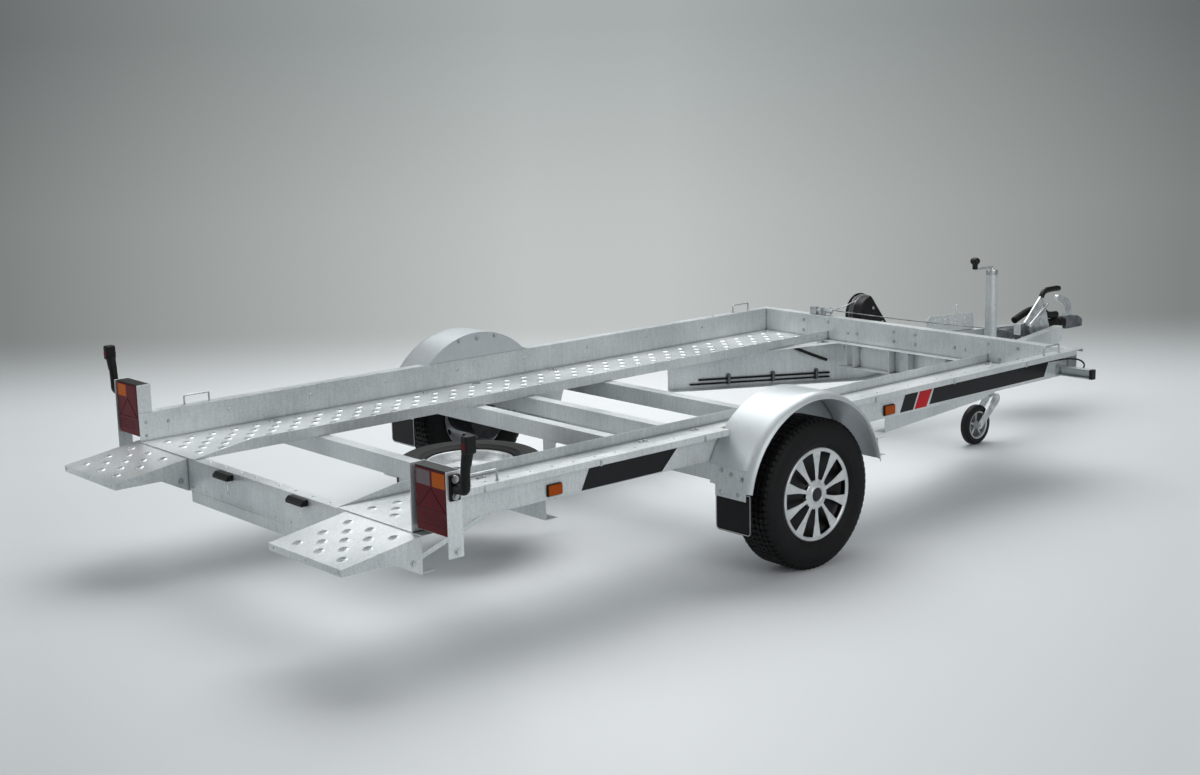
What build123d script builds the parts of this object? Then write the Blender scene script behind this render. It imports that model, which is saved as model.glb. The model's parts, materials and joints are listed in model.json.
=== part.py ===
"""Single-axle open car hauler trailer, galvanised steel, standing on its wheels and jockey wheel.

+X points forward to the coupling, +Y to the left and +Z up. Lengths are in millimetres. The pieces are
drawn with x = 0 at the rear edge of the wheel tracks, and moved at the end so that the origin lies on
the ground under the middle of the trailer's box. A reach is a length outwards from the tracks' outer
walls, and a lead is a length forwards from the tracks' front end.
"""
from build123d import *
from math import atan2, cos, degrees, pi, radians, sin, sqrt
import os

# Wheel tracks, folded from sheet
sheet = 3
track_length = 3790
track_inner = 521
track_outer = 980
floor_top = 480
wall_height = 120
rail_flange = 50
rail_lip = 25
inner_lip_height = 43
inner_lip_ramp = 300
fit_gap = 0.3
overrun_cut = 5

# Front wall and the beams below the tracks
wall_flange = 50
wall_lip = 15
beam_depth = 75
beam_flange = 55
crossbeam_rear_x = 580
crossbeam_axle_gap = 235
front_beam_depth = 127
front_beam_overlap = 79
rear_beam_depth = 132
rear_beam_flange = 50
brace_gauge = 4
brace_width = 20
brace_foot_z = 366
brace_run = 345
brace_top_length = 62
skirt_depth = 45
skirt_overlap = 39
skirt_hem = 18
rib_gauge = 4
rib_places = (60, 300, 520)

# Wheels: 185/70 R14 on steel rims with covers
wheel_x = 1793
wheel_reach = 220
tyre_radius = 305
tyre_width = 185
wheel_sides = 48
bulge_radius = 250
shoulder_drop = 17
shoulder_share = 0.84
tread_share = 0.7
rim_seat_radius = 178
rim_flange_radius = 196
rim_width = 148
rim_gauge = 5
flange_rise = 6.5
disc_offset = 30
disc_bore = 33.5
cover_radius = 189
cover_gauge = 4
cover_spokes = 10
cover_ring_width = 22
cover_window_root = 54
cover_cap_radius = 34
cover_cap_height = 6
cap_sides = 24
spoke_root_width = 15
spoke_tip_width = 34

# Torsion axle
axle_lead = 142
axle_rise = 60
axle_size = 80
axle_wall = 6
axle_end_inset = 75
arm_thickness = 30
arm_root_radius = 50
arm_tip_radius = 36
backplate_radius = 100
backplate_gauge = 5
drum_radius = 95
drum_gap = 3
spindle_radius = 17.5
spindle_gap = 0.05
spindle_reach = 150
hanger_gauge = 6
hanger_top_length = 200
hanger_bottom_length = 110
hanger_inset = 120

# Mudguards
guard_setback = 15.5
guard_rise = 7.5
guard_gap = 102.5
guard_sheet = 2
guard_reach = 230
guard_shoulder = 14
guard_edge = 26
guard_end_z = 385
guard_cheek_bottom = 540
guard_clearance = 4
stay_top = 469
stay_depth = 79
stay_flange = 45
stay_reach = 193
stay_tab_depth = 45
flap_gauge = 4
flap_start = 28
flap_reach = 217
flap_top = 375
flap_bottom = 210

# Fixed run-up plates behind the tracks
runup_inset = 57
runup_length = 317
runup_top = 475
runup_end_top = 427
runup_end_depth = 25
runup_front_depth = 73
gusset_length = 120
gusset_foot = 340
gusset_gauge = 4
tread_hole_radius = 14
hole_sides = 6
runup_rows = (262, 210, 160, 109, 57)
runup_wide_row = (100, 235, 375)
runup_narrow_row = (172, 302)

# Rear lamps
bracket_depth = 63
bracket_reach = 205
bracket_top = 720
bracket_foot = 426
lamp_start = 20
lamp_reach = 196
lamp_bottom = 493
lamp_top = 719
lamp_rear = 6
lens_depth = 14
lens_chamfer = 4
marker_base_length = 44
marker_base_bottom = 620
marker_base_top = 710
marker_base_gauge = 10
marker_arm_radius = 17
marker_arm_span = 62
marker_head_bottom = 745
marker_top = 853
marker_head_width = 34
marker_head_depth = 46
marker_span = 105
plate_lamp_start = 215
plate_lamp_length = 110
plate_lamp_depth = 30
plate_lamp_height = 25
plate_lamp_bottom = 447
side_marker_height = 44
side_marker_depth = 14
side_marker_length = 67
side_marker_bottom = 489
side_marker_places = (586, 2442)

# Drawbar: two deep folded beams that meet at the coupling
drawbar_rear_lead = -1010
drawbar_low_lead = 140
drawbar_wide_lead = -40
drawbar_front_lead = 1260
drawbar_wide_y = 450
drawbar_nose_y = 99
drawbar_flange = 50
drawbar_rear_bottom = 318
drawbar_low_z = 255
drawbar_nose_bottom = 378
drawbar_nose_top = 460

# Overrun device, coupling and handbrake, along the trailer from the drawbar's front end
housing_length = 380
housing_setback = 40
housing_half_width = 45
housing_bottom = 400
housing_top = 482
housing_chamfer = 15
saddle_gauge = 8
saddle_length = 80
saddle_setbacks = (390, 120)
tube_radius = 25
tube_z = 452
gaiter_length = 180
gaiter_radius = 36
gaiter_ribs = 5
gaiter_sides = 12
head_length = 170
head_half_width = 36
head_top = 482
head_bottom = 417
head_rear_share = 0.8
head_nose_share = 0.35
head_nose_run = 12
head_slope_run = 62
head_nose_drop = 34
ball_radius = 25
ball_setback = 42
ball_z = 437
socket_rise = 10
socket_top_radius = 12
handle_gauge = 26
lever_gauge = 12
strut_radius = 6
strut_foot = (174, 79)
strut_head = (279, 180)
grip_radius = 15
grip_foot = (284, 233)
grip_head = (444, 265)
grip_sides = 8
sleeve_radius = 17

# Coupling handle's side outline, with columns: ahead of the head's rear end, above the head's top
handle_outline = (
    (14, 0), (74, 0), (66, 74), (38, 101), (8, 115), (-54, 135), (-66, 124), (-60, 104), (-10, 84), (10, 66),
    (16, 38),
)

# Handbrake lever's side outline, with columns: ahead of the housing's rear end, above its bottom
lever_outline = (
    (125, 108), (281, 248), (287, 218), (318, 185), (304, 172), (329, 140), (355, 60), (320, 30), (199, 30),
)

# Rubber sleeve's bend line, with columns: ahead of the housing's rear end, above its top
sleeve_line = ((105, 36), (235, 72), (320, 76), (425, 23), (500, 23))

# Jockey wheel
jockey_lead = 300
jockey_web_gap = 8
jockey_tube_radius = 30
jockey_tube_wall = 2.5
jockey_tube_bottom = 285
jockey_tube_top = 887
jockey_slide_gap = 0.05
jockey_inner_top = 760
jockey_notch_gap = 4
jockey_wheel_radius = 103
jockey_wheel_width = 45
jockey_shoulder_share = 0.9
jockey_tread_share = 0.6
jockey_sides = 36
jockey_trail = 115
jockey_axle_radius = 8
jockey_axle_gap = 0.05
fork_gauge = 5
fork_gap = 6
fork_crown_z = 236
fork_crown_gauge = 8
fork_crown_length = 60
fork_head_lead = 20
fork_head_z = 222
fork_head_radius = 27
fork_foot_radius = 20
swivel_radius = 17
swivel_gap = 0.05
swivel_height = 30
crank_z = 908
crank_reach = 140
crank_rod_radius = 7
rod_sides = 6
knob_radius = 20
knob_top = 967
clamp_bottom = 400
clamp_height = 60
clamp_margin = 6

# Winch, its hook and cable, and the plate on the left drawbar beam
winch_lead = 185
winch_y = 420
winch_cheek_gauge = 24
winch_gap = 62
winch_radius = 108
winch_base_length = 230
winch_base_height = 60
winch_axis_z = 606
winch_foot_z = 484
winch_drum_radius = 62
hook_plate_gauge = 5
hook_plate_width = 50
hook_plate_height = 44
hook_plate_y = 560
hook_plate_lead = 20
hook_radius = 7
hook_length = 50
hook_rise = 30
cable_radius = 2.5
cable_end_z = 585
plate_rear_lead = 500
plate_length = 310
plate_gauge = 4
plate_top = 565
plate_foot_width = 44
plate_corner = 30
plate_rod_place = 210
plate_rod_radius = 8
plate_rod_top = 612

# Spare wheel lying below the bed
spare_x = 980
spare_seat_z = 232
carrier_gauge = 5
carrier_half_width = 40
carrier_foot = 75
carrier_bolt_radius = 8
carrier_bolt_top = 18
carrier_washer_radius = 50
carrier_washer_gauge = 6

# Rope rings and front lamp outriggers
ring_rod_radius = 4
ring_length = 118
ring_height = 40
ring_corner = 12
ring_rear_x = 227
ring_front_setback = 232
ring_reach = 28
outrigger_length = 180
outrigger_height = 45
outrigger_depth = 30
outrigger_gauge = 4
outrigger_z = 487
outrigger_setback = 90
outrigger_lamp_length = 16

# Derived places
floor_bottom = floor_top - sheet
wall_top = floor_top + wall_height
rail_edge = track_outer + rail_flange
front_x = track_length + sheet
wheel_outer = track_outer + wheel_reach
wheel_middle = wheel_outer - tyre_width / 2
axle_x = wheel_x + axle_lead
axle_z = tyre_radius + axle_rise
axle_half_length = track_outer - axle_end_inset
hanger_places = (track_inner + hanger_inset, track_outer - hanger_inset)
guard_x = wheel_x - guard_setback
guard_z = tyre_radius + guard_rise
guard_radius = tyre_radius + guard_gap
guard_inner = track_outer + sheet
guard_outer = track_outer + guard_reach
guard_under = guard_radius - guard_sheet
stay_outer = track_outer + stay_reach
flap_inner = track_outer + flap_start
flap_outer = track_outer + flap_reach
stay_rear_x = guard_x - sqrt(guard_under**2 - (stay_top - guard_z) ** 2) + fit_gap
stay_front_x = guard_x + sqrt(guard_radius**2 - (stay_top - stay_depth - guard_z) ** 2) + fit_gap
crossbeam_places = (crossbeam_rear_x, stay_rear_x, axle_x - crossbeam_axle_gap, stay_front_x)
runup_inner = track_inner + runup_inset
bracket_outer = track_outer + bracket_reach
lamp_inner = track_outer + lamp_start
lamp_outer = track_outer + lamp_reach
marker_outer = bracket_outer + marker_span
drawbar_rear = track_length + drawbar_rear_lead
drawbar_low_x = track_length + drawbar_low_lead
drawbar_wide_x = track_length + drawbar_wide_lead
drawbar_front = track_length + drawbar_front_lead
drawbar_slope = (drawbar_wide_y - drawbar_nose_y) / (drawbar_front - drawbar_wide_x)
drawbar_angle = degrees(atan2(drawbar_wide_y - drawbar_nose_y, drawbar_front - drawbar_wide_x))
drawbar_stretch = 1 / cos(radians(drawbar_angle))
housing_front = drawbar_front - housing_setback
housing_rear = housing_front - housing_length
gaiter_end = housing_front + gaiter_length
head_front = gaiter_end + head_length
ball_x = head_front - ball_setback
middle_x = (head_front - runup_length) / 2
jockey_x = track_length + jockey_lead
winch_x = track_length + winch_lead
plate_rear = track_length + plate_rear_lead
carrier_rear = crossbeam_rear_x + carrier_foot
carrier_front = stay_rear_x
ring_places = (ring_rear_x, track_length - ring_front_setback)
ring_y = track_outer + ring_reach
outrigger_x = track_length - outrigger_setback


def drawbar_y(x):
    """Outer face of the left drawbar beam at one place along the trailer."""
    return drawbar_wide_y - drawbar_slope * (x - drawbar_wide_x)


def drawbar_top(x):
    """Top of the drawbar beams, which slopes down ahead of the front wall."""
    share = max(0, (x - front_x) / (drawbar_front - front_x))
    return floor_bottom - share * (floor_bottom - drawbar_nose_top)


jockey_y = sheet * drawbar_stretch + jockey_web_gap + jockey_tube_radius - drawbar_y(jockey_x)


def sheet_face(points, gauge=sheet):
    """Section of a folded sheet: its bend line, and the same line moved to the left by the gauge."""
    corners = [Vector(*point) for point in points]
    runs = [(end - start).normalized() for start, end in zip(corners, corners[1:])]
    sides = [Vector(-run.Y, run.X) * gauge for run in runs]
    moved = [corners[0] + sides[0]]
    for corner, before, after in zip(corners[1:-1], sides, sides[1:]):
        moved.append(corner + (before + after) * (gauge**2 / (gauge**2 + before.dot(after))))
    moved.append(corners[-1] + sides[-1])
    return polygon(*corners, *reversed(moved))


def channel_face(x, top, depth, flange):
    """Channel section with its web at x and its flanges forwards, or rearwards for a negative flange."""
    points = [(x + flange, top), (x, top), (x, top - depth), (x + flange, top - depth)]
    if flange < 0:
        points.reverse()
    return sheet_face(points)


def slab(x_low, x_high, y_low, y_high, z_low, z_high):
    """Block between two corners."""
    size = (x_high - x_low, y_high - y_low, z_high - z_low)
    centre = ((x_low + x_high) / 2, (y_low + y_high) / 2, (z_low + z_high) / 2)
    return Pos(*centre) * Box(*size)


def rod(start, end, radius):
    """Round bar between two points."""
    start = Vector(*start)
    run = Vector(*end) - start
    return Plane(origin=start, z_dir=run) * Cylinder(
        radius, run.length, align=(Align.CENTER, Align.CENTER, Align.MIN)
    )


def bar_face(start, run, flat, radius, sides):
    """Many-sided section across a run, with a flat at the radius that faces one way."""
    outline = RegularPolygon(radius, sides, major_radius=False, rotation=90 - 180 / sides)
    return Plane(origin=start, x_dir=flat.cross(run), z_dir=run) * outline


def bar(start, end, radius, flat, sides=rod_sides):
    """Straight many-sided bar between two points."""
    start = Vector(*start)
    run = Vector(*end) - start
    return extrude(bar_face(start, run, Vector(*flat), radius, sides), run.length, dir=run.normalized())


def bent_bar(points, radius, sides=rod_sides):
    """Many-sided bar with mitred corners along a line that stays in one upright plane."""
    line = Polyline(*points)
    run = line % 0
    flat = run.cross(Vector(0, 1, 0))
    return sweep(bar_face(line @ 0, run, flat, radius, sides), path=line, transition=Transition.RIGHT)


def side_plate(outline, y_low, y_high):
    """Plate with an outline in x and z, between two places across the trailer."""
    return extrude(Plane.XZ.offset(-y_high) * outline, y_high - y_low)


def polygon(*points):
    return make_face(Polyline(*points, close=True))


def turned(face):
    """Ring from a section in radius and width, about the Y axis."""
    return revolve(face, Axis.Y)


def facet_ring(section, sides=wheel_sides):
    """Many-sided ring about the Y axis, from section points in radius to the flats and width."""
    half_step = pi / sides
    rings = []
    for radius, width in section:
        corner = radius / cos(half_step)
        rings.append([
            (corner * cos(turn * half_step), width, corner * sin(turn * half_step))
            for turn in range(1, 2 * sides + 2, 2)
        ])
    faces = [
        polygon(near[index], near[index + 1], far[index + 1], far[index])
        for near, far in zip(rings, rings[1:] + rings[:1])
        for index in range(sides)
    ]
    return Solid(Shell(faces)).clean()


def save(name, shape):
    moved = Pos(-middle_x, 0, 0) * shape
    export_step(moved, f"parts/{name}.step")


def both_sides(shape):
    """The left piece and its mirror image, which don't touch."""
    return Compound([*shape.solids(), *mirror(shape, about=Plane.XZ).solids()])


def save_pair(name, shape):
    """The left piece and its mirror image on the right."""
    save(f"{name}_left", shape)
    save(f"{name}_right", mirror(shape, about=Plane.XZ))


def track():
    lip_line = track_inner + sheet
    wall_line = track_outer - sheet
    section = sheet_face([
        (rail_edge, wall_top - rail_lip), (rail_edge, wall_top), (wall_line, wall_top),
        (wall_line, floor_top), (lip_line, floor_top), (lip_line, floor_top + inner_lip_height),
    ])
    body = extrude(Plane.YZ * section, track_length)
    ramp = polygon(
        (-overrun_cut, floor_top),
        (inner_lip_ramp, floor_top + inner_lip_height + overrun_cut),
        (-overrun_cut, floor_top + inner_lip_height + overrun_cut),
    )
    body -= side_plate(ramp, track_inner - overrun_cut, lip_line + overrun_cut)
    notch = slab(-overrun_cut, bracket_depth, track_outer, rail_edge + overrun_cut,
                 floor_top, wall_top + overrun_cut)
    half = sqrt(guard_radius**2 - (wall_top - rail_lip - guard_z) ** 2) + guard_clearance
    notch += slab(guard_x - half, guard_x + half, track_outer, rail_edge + overrun_cut,
                  floor_top, wall_top + overrun_cut)
    return body - notch


def crossbeam(x):
    face = channel_face(x, floor_bottom, beam_depth, beam_flange)
    return extrude(Plane.XZ * face, track_outer, both=True)


def rear_beam():
    """Channel across the rear, with a flat brace at each side up to the floor."""
    face = channel_face(0, floor_bottom, rear_beam_depth, rear_beam_flange)
    beam = extrude(Plane.XZ * face, rail_edge, both=True)
    outline = polygon(
        (sheet, brace_foot_z), (brace_run, floor_bottom), (brace_run - brace_top_length, floor_bottom),
        (sheet, brace_foot_z + brace_width),
    )
    brace = side_plate(outline, track_outer - brace_gauge, track_outer)
    return beam + brace + mirror(brace, about=Plane.XZ)


def rear_skirt():
    top = floor_bottom - rear_beam_depth
    face = sheet_face([(skirt_hem, top), (0, top), (0, top - skirt_depth), (skirt_hem, top - skirt_depth)])
    return extrude(Plane.XZ * face, track_inner + skirt_overlap, both=True)


def front_wall():
    face = sheet_face([
        (front_x + wall_flange, wall_top - wall_lip), (front_x + wall_flange, wall_top),
        (track_length, wall_top), (track_length, floor_bottom),
    ])
    return extrude(Plane.XZ * face, rail_edge, both=True)


def front_crossbeam():
    """Channel under the front wall in three lengths, cut where the drawbar beams pass, with ribs."""
    face = channel_face(front_x, floor_bottom, front_beam_depth, -beam_flange)
    beam = extrude(Plane.XZ * face, track_inner + front_beam_overlap, both=True)
    for y in rib_places:
        rib = slab(front_x - beam_flange, front_x - sheet, y, y + rib_gauge,
                   floor_bottom - front_beam_depth + sheet, floor_bottom - sheet)
        beam += rib + mirror(rib, about=Plane.XZ)
    return beam - drawbar_solid()


def drawbar_beam():
    """Left beam: a web on the outside and a flange inwards at the top and at the bottom."""
    low = (drawbar_low_x - drawbar_rear) * drawbar_stretch
    wall = (front_x - drawbar_rear) * drawbar_stretch
    length = (drawbar_front - drawbar_rear) * drawbar_stretch
    lower = [(0, drawbar_rear_bottom), (low, drawbar_low_z), (length, drawbar_nose_bottom)]
    upper = [(length, drawbar_nose_top), (wall, floor_bottom), (0, floor_bottom)]
    block = side_plate(polygon(*lower, *upper), -drawbar_flange, 0)
    inner_lower = [(place, bottom + sheet) for place, bottom in lower]
    inner_upper = [(place, top - sheet) for place, top in upper]
    channel = polygon(
        (-overrun_cut, inner_lower[0][1]), *inner_lower, (length + overrun_cut, inner_lower[-1][1]),
        (length + overrun_cut, inner_upper[0][1]), *inner_upper, (-overrun_cut, inner_upper[-1][1]),
    )
    block -= side_plate(channel, -drawbar_flange - overrun_cut, -sheet)
    return Pos(drawbar_rear, drawbar_y(drawbar_rear), 0) * Rot(0, 0, -drawbar_angle) * block


def drawbar_right():
    """The left beam's mirror image, with round notches in its flanges for the jockey tube."""
    notch = rod((jockey_x, jockey_y, drawbar_low_z), (jockey_x, jockey_y, floor_bottom),
                jockey_tube_radius + jockey_notch_gap)
    return mirror(drawbar_beam(), about=Plane.XZ) - notch


def drawbar_solid():
    """Both drawbar beams as filled blocks, for what ends against them."""
    width = drawbar_flange * drawbar_stretch + 2 * fit_gap
    rear_y = drawbar_y(drawbar_rear) + fit_gap
    front_y = drawbar_y(drawbar_front) + fit_gap
    plan = polygon(
        (drawbar_rear, rear_y), (drawbar_front, front_y),
        (drawbar_front, front_y - width), (drawbar_rear, rear_y - width),
    )
    block = extrude(plan, floor_bottom + overrun_cut)
    return block + mirror(block, about=Plane.XZ)


def tyre():
    """Ring with bulging sides, chamfered shoulders and a flat tread."""
    half = tyre_width / 2
    side = [
        (rim_seat_radius, rim_width / 2 - flange_rise), (bulge_radius, half),
        (tyre_radius - shoulder_drop, half * shoulder_share), (tyre_radius, half * tread_share),
    ]
    return facet_ring([*side, *[(radius, -place) for radius, place in reversed(side)]])


def rim():
    """Well with a flared flange at each side, and a disc ahead of the middle."""
    half = rim_width / 2
    bead = half - flange_rise
    inner = rim_seat_radius - rim_gauge
    return facet_ring([
        (inner, -half), (rim_flange_radius, -half), (rim_seat_radius, -bead), (rim_seat_radius, bead),
        (rim_flange_radius, half), (inner, half), (inner, disc_offset + rim_gauge),
        (disc_bore, disc_offset + rim_gauge), (disc_bore, disc_offset), (inner, disc_offset),
    ])


def wheel_cover():
    """Many-sided ring, hub cap and flared spokes, open between the spokes."""
    half = rim_width / 2
    front = half + cover_gauge
    dish = bar((0, half, 0), (0, front, 0), cover_radius, (0, 0, 1), wheel_sides)
    dish += bar((0, front, 0), (0, front + cover_cap_height, 0), cover_cap_radius, (0, 0, 1), cap_sides)
    window_outer = cover_radius - cover_ring_width
    step = 2 * pi / cover_spokes
    half_root = cover_window_root * sin(step / 2) - spoke_root_width / 2
    half_tip = window_outer * sin(step / 2) - spoke_tip_width / 2
    window = polygon(
        (cover_window_root, -half_root), (window_outer, -half_tip),
        (window_outer, half_tip), (cover_window_root, half_root),
    )
    windows = [Rot(0, 0, degrees((index + 0.5) * step)) * window for index in range(cover_spokes)]
    depth = cover_gauge + 2 * overrun_cut
    return dish - extrude(Plane.XZ.offset(-front - overrun_cut) * Sketch(windows), depth)


def hub():
    """Brake drum and hub that turn on the spindle, up to the wheel's disc."""
    rear = axle_half_length + arm_thickness + backplate_gauge + drum_gap - wheel_middle
    drum = facet_ring([
        (spindle_radius, rear), (drum_radius, rear), (drum_radius, disc_offset), (spindle_radius, disc_offset),
    ])
    return drum - rod((0, rear, 0), (0, disc_offset, 0), spindle_radius + spindle_gap)


def axle():
    """Torsion tube with a trailing arm, brake backplate and spindle at each end, and four hangers."""
    half = axle_size / 2
    tube = slab(axle_x - half, axle_x + half, -axle_half_length, axle_half_length,
                axle_z - half, axle_z + half)
    inside = half - axle_wall
    tube -= slab(axle_x - inside, axle_x + inside, -axle_half_length - overrun_cut,
                 axle_half_length + overrun_cut, axle_z - inside, axle_z + inside)
    root = Pos(axle_x, axle_z) * Circle(arm_root_radius)
    tip = Pos(wheel_x, tyre_radius) * Circle(arm_tip_radius)
    arm_end = axle_half_length + arm_thickness
    plate_end = arm_end + backplate_gauge
    arm = side_plate(make_hull([*root.edges(), *tip.edges()]), axle_half_length, arm_end)
    arm += rod((wheel_x, arm_end, tyre_radius), (wheel_x, plate_end, tyre_radius), backplate_radius)
    arm += rod((wheel_x, plate_end, tyre_radius), (wheel_x, plate_end + spindle_reach, tyre_radius),
               spindle_radius)
    hanger_face = polygon(
        (axle_x - hanger_top_length / 2, floor_bottom), (axle_x + hanger_top_length / 2, floor_bottom),
        (axle_x + hanger_bottom_length / 2, axle_z - half), (axle_x + half, axle_z - half),
        (axle_x + half, axle_z + half), (axle_x - half, axle_z + half),
        (axle_x - half, axle_z - half), (axle_x - hanger_bottom_length / 2, axle_z - half),
    )
    for y in hanger_places:
        arm += side_plate(hanger_face, y, y + hanger_gauge)
    return tube + arm + mirror(arm, about=Plane.XZ)


def mudguard():
    """Folded arch over the wheel, with a cheek plate against the rail."""
    section = sheet_face(
        [
            (guard_radius, guard_inner), (guard_radius, guard_outer - guard_shoulder),
            (guard_radius - guard_shoulder, guard_outer), (guard_radius - guard_edge, guard_outer),
        ],
        guard_sheet,
    )
    reach = guard_radius + overrun_cut
    keep = slab(-reach, reach, guard_inner - overrun_cut, guard_outer + overrun_cut,
                guard_end_z - guard_z, reach)
    arch = Pos(guard_x, 0, guard_z) * (turned(section) & keep)
    cheek = rod((guard_x, track_outer, guard_z), (guard_x, guard_inner, guard_z), guard_radius)
    cheek &= slab(guard_x - reach, guard_x + reach, track_outer, guard_inner,
                  guard_cheek_bottom, guard_z + reach)
    return arch + cheek


def rear_stay():
    face = channel_face(stay_rear_x, stay_top, stay_depth, stay_flange)
    body = side_plate(face, track_outer, stay_outer)
    tab = slab(stay_rear_x, stay_rear_x + sheet, flap_inner, stay_outer,
               stay_top - stay_depth - stay_tab_depth, stay_top - stay_depth + sheet)
    return body + tab


def front_stay():
    face = channel_face(stay_front_x, stay_top, stay_depth, stay_flange)
    return side_plate(face, track_outer, stay_outer)


def mudflap():
    rear = stay_rear_x + sheet
    return slab(rear, rear + flap_gauge, flap_inner, flap_outer, flap_bottom, flap_top)


def runup_plate():
    """Sloping perforated plate with deep cheeks and a gusset under each cheek."""
    outline = polygon(
        (0, runup_top), (-runup_length, runup_end_top),
        (-runup_length, runup_end_top - runup_end_depth), (0, runup_top - runup_front_depth),
    )
    inside = polygon(
        (overrun_cut, runup_top - sheet), (0, runup_top - sheet),
        (sheet - runup_length, runup_end_top - sheet),
        (sheet - runup_length, runup_end_top - runup_end_depth - overrun_cut),
        (overrun_cut, gusset_foot - overrun_cut),
    )
    body = side_plate(outline, runup_inner, rail_edge)
    body -= side_plate(inside, runup_inner + sheet, rail_edge - sheet)
    front_bottom = runup_top - runup_front_depth
    slope = (front_bottom - runup_end_top + runup_end_depth) / runup_length
    gusset = polygon(
        (0, gusset_foot), (0, front_bottom), (-gusset_length, front_bottom - slope * gusset_length),
    )
    for y in (runup_inner, rail_edge - gusset_gauge):
        body += side_plate(gusset, y, y + gusset_gauge)
    holes = [
        Pos(-back, runup_inner + y) * RegularPolygon(tread_hole_radius, hole_sides)
        for index, back in enumerate(runup_rows)
        for y in (runup_narrow_row if index % 2 else runup_wide_row)
    ]
    low = runup_end_top - runup_end_depth
    return body - extrude(Plane.XY.offset(low) * Sketch(holes), runup_top + overrun_cut - low)


def lamp_bracket():
    """Folded upright that holds a rear lamp, with its outer side down beside the beam's end."""
    plan = sheet_face([(0, track_outer), (bracket_depth, track_outer), (bracket_depth, bracket_outer),
                       (0, bracket_outer)])
    body = extrude(Plane.XY.offset(floor_top) * plan, bracket_top - floor_top)
    return body + slab(0, bracket_depth, bracket_outer - sheet, bracket_outer, bracket_foot, floor_top)


def lamp_housing():
    return slab(lamp_rear + lens_depth, bracket_depth - sheet, lamp_inner, lamp_outer, lamp_bottom, lamp_top)


def lamp_lens():
    body = slab(lamp_rear, lamp_rear + lens_depth, lamp_inner, lamp_outer, lamp_bottom, lamp_top)
    return chamfer(body.faces().sort_by(Axis.X)[0].edges(), lens_chamfer)


def marker_arm():
    """Rubber arm from the bracket's side, out, then up to a position lamp head."""
    base_x = bracket_depth / 2
    base = slab(base_x - marker_base_length / 2, base_x + marker_base_length / 2, bracket_outer,
                bracket_outer + marker_base_gauge, marker_base_bottom, marker_base_top)
    low = (marker_base_bottom + marker_base_top) / 2
    elbow_y = bracket_outer + marker_arm_span
    face = polygon(
        (bracket_outer, low - marker_arm_radius), (elbow_y, low - marker_arm_radius),
        (elbow_y + marker_arm_radius, low), (elbow_y + marker_arm_radius, marker_head_bottom),
        (elbow_y - marker_arm_radius, marker_head_bottom),
        (elbow_y - marker_arm_radius, low + marker_arm_radius), (bracket_outer, low + marker_arm_radius),
    )
    arm = extrude(Plane.YZ.offset(base_x) * face, marker_arm_radius, both=True)
    head_low = Plane.XY.offset(marker_head_bottom) * Pos(base_x, elbow_y) \
        * Rectangle(2 * marker_arm_radius, 2 * marker_arm_radius)
    head_high = Plane.XY.offset(marker_top) * Pos(base_x, marker_outer - marker_head_width / 2) \
        * Rectangle(marker_head_depth, marker_head_width)
    return base + arm + loft([head_low, head_high])


def plate_lamps():
    lamp = slab(-plate_lamp_depth, 0, plate_lamp_start, plate_lamp_start + plate_lamp_length,
                plate_lamp_bottom, plate_lamp_bottom + plate_lamp_height)
    lamp = chamfer(lamp.faces().sort_by(Axis.X)[0].edges().sort_by(Axis.Z)[-1], plate_lamp_height / 2)
    return both_sides(lamp)


def side_markers():
    lamps = [
        slab(x, x + side_marker_length, track_outer, track_outer + side_marker_depth,
             side_marker_bottom, side_marker_bottom + side_marker_height)
        for x in side_marker_places
    ]
    return both_sides(Compound(lamps))


def rope_rings():
    """Bent rod loops on the rails."""
    rings = []
    top = wall_top + ring_height
    for x in ring_places:
        end = x + ring_length
        ring = bent_bar(
            [
                (x, ring_y, wall_top), (x, ring_y, top - ring_corner), (x + ring_corner, ring_y, top),
                (end - ring_corner, ring_y, top), (end, ring_y, top - ring_corner), (end, ring_y, wall_top),
            ],
            ring_rod_radius,
        )
        rings.append(ring.solid())
    return both_sides(Compound(rings))


def outrigger():
    """Short arm out from the front corner of the bed to a position lamp."""
    body = slab(outrigger_x, outrigger_x + outrigger_depth, track_outer, track_outer + outrigger_length,
                outrigger_z, outrigger_z + outrigger_height)
    inside = slab(outrigger_x - overrun_cut, outrigger_x + outrigger_depth - outrigger_gauge,
                  track_outer + outrigger_gauge, track_outer + outrigger_length + overrun_cut,
                  outrigger_z + outrigger_gauge, outrigger_z + outrigger_height - outrigger_gauge)
    return body - inside


def outrigger_lamp():
    end = track_outer + outrigger_length
    return slab(outrigger_x, outrigger_x + outrigger_depth, end, end + outrigger_lamp_length,
                outrigger_z, outrigger_z + outrigger_height)


def spare_carrier():
    """Strap under the spare wheel, hung from two crossbeams, with a bolt through the rim."""
    low = floor_bottom - beam_depth
    section = sheet_face(
        [
            (carrier_front + carrier_foot, low), (carrier_front, low), (carrier_front, spare_seat_z),
            (carrier_rear, spare_seat_z), (carrier_rear, low), (carrier_rear - carrier_foot, low),
        ],
        carrier_gauge,
    )
    disc_z = spare_seat_z + tyre_width / 2 + disc_offset + rim_gauge
    body = extrude(Plane.XZ * section, carrier_half_width, both=True)
    body += rod((spare_x, 0, spare_seat_z - carrier_gauge), (spare_x, 0, disc_z + carrier_bolt_top),
                carrier_bolt_radius)
    return body + rod((spare_x, 0, disc_z), (spare_x, 0, disc_z + carrier_washer_gauge), carrier_washer_radius)


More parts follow.
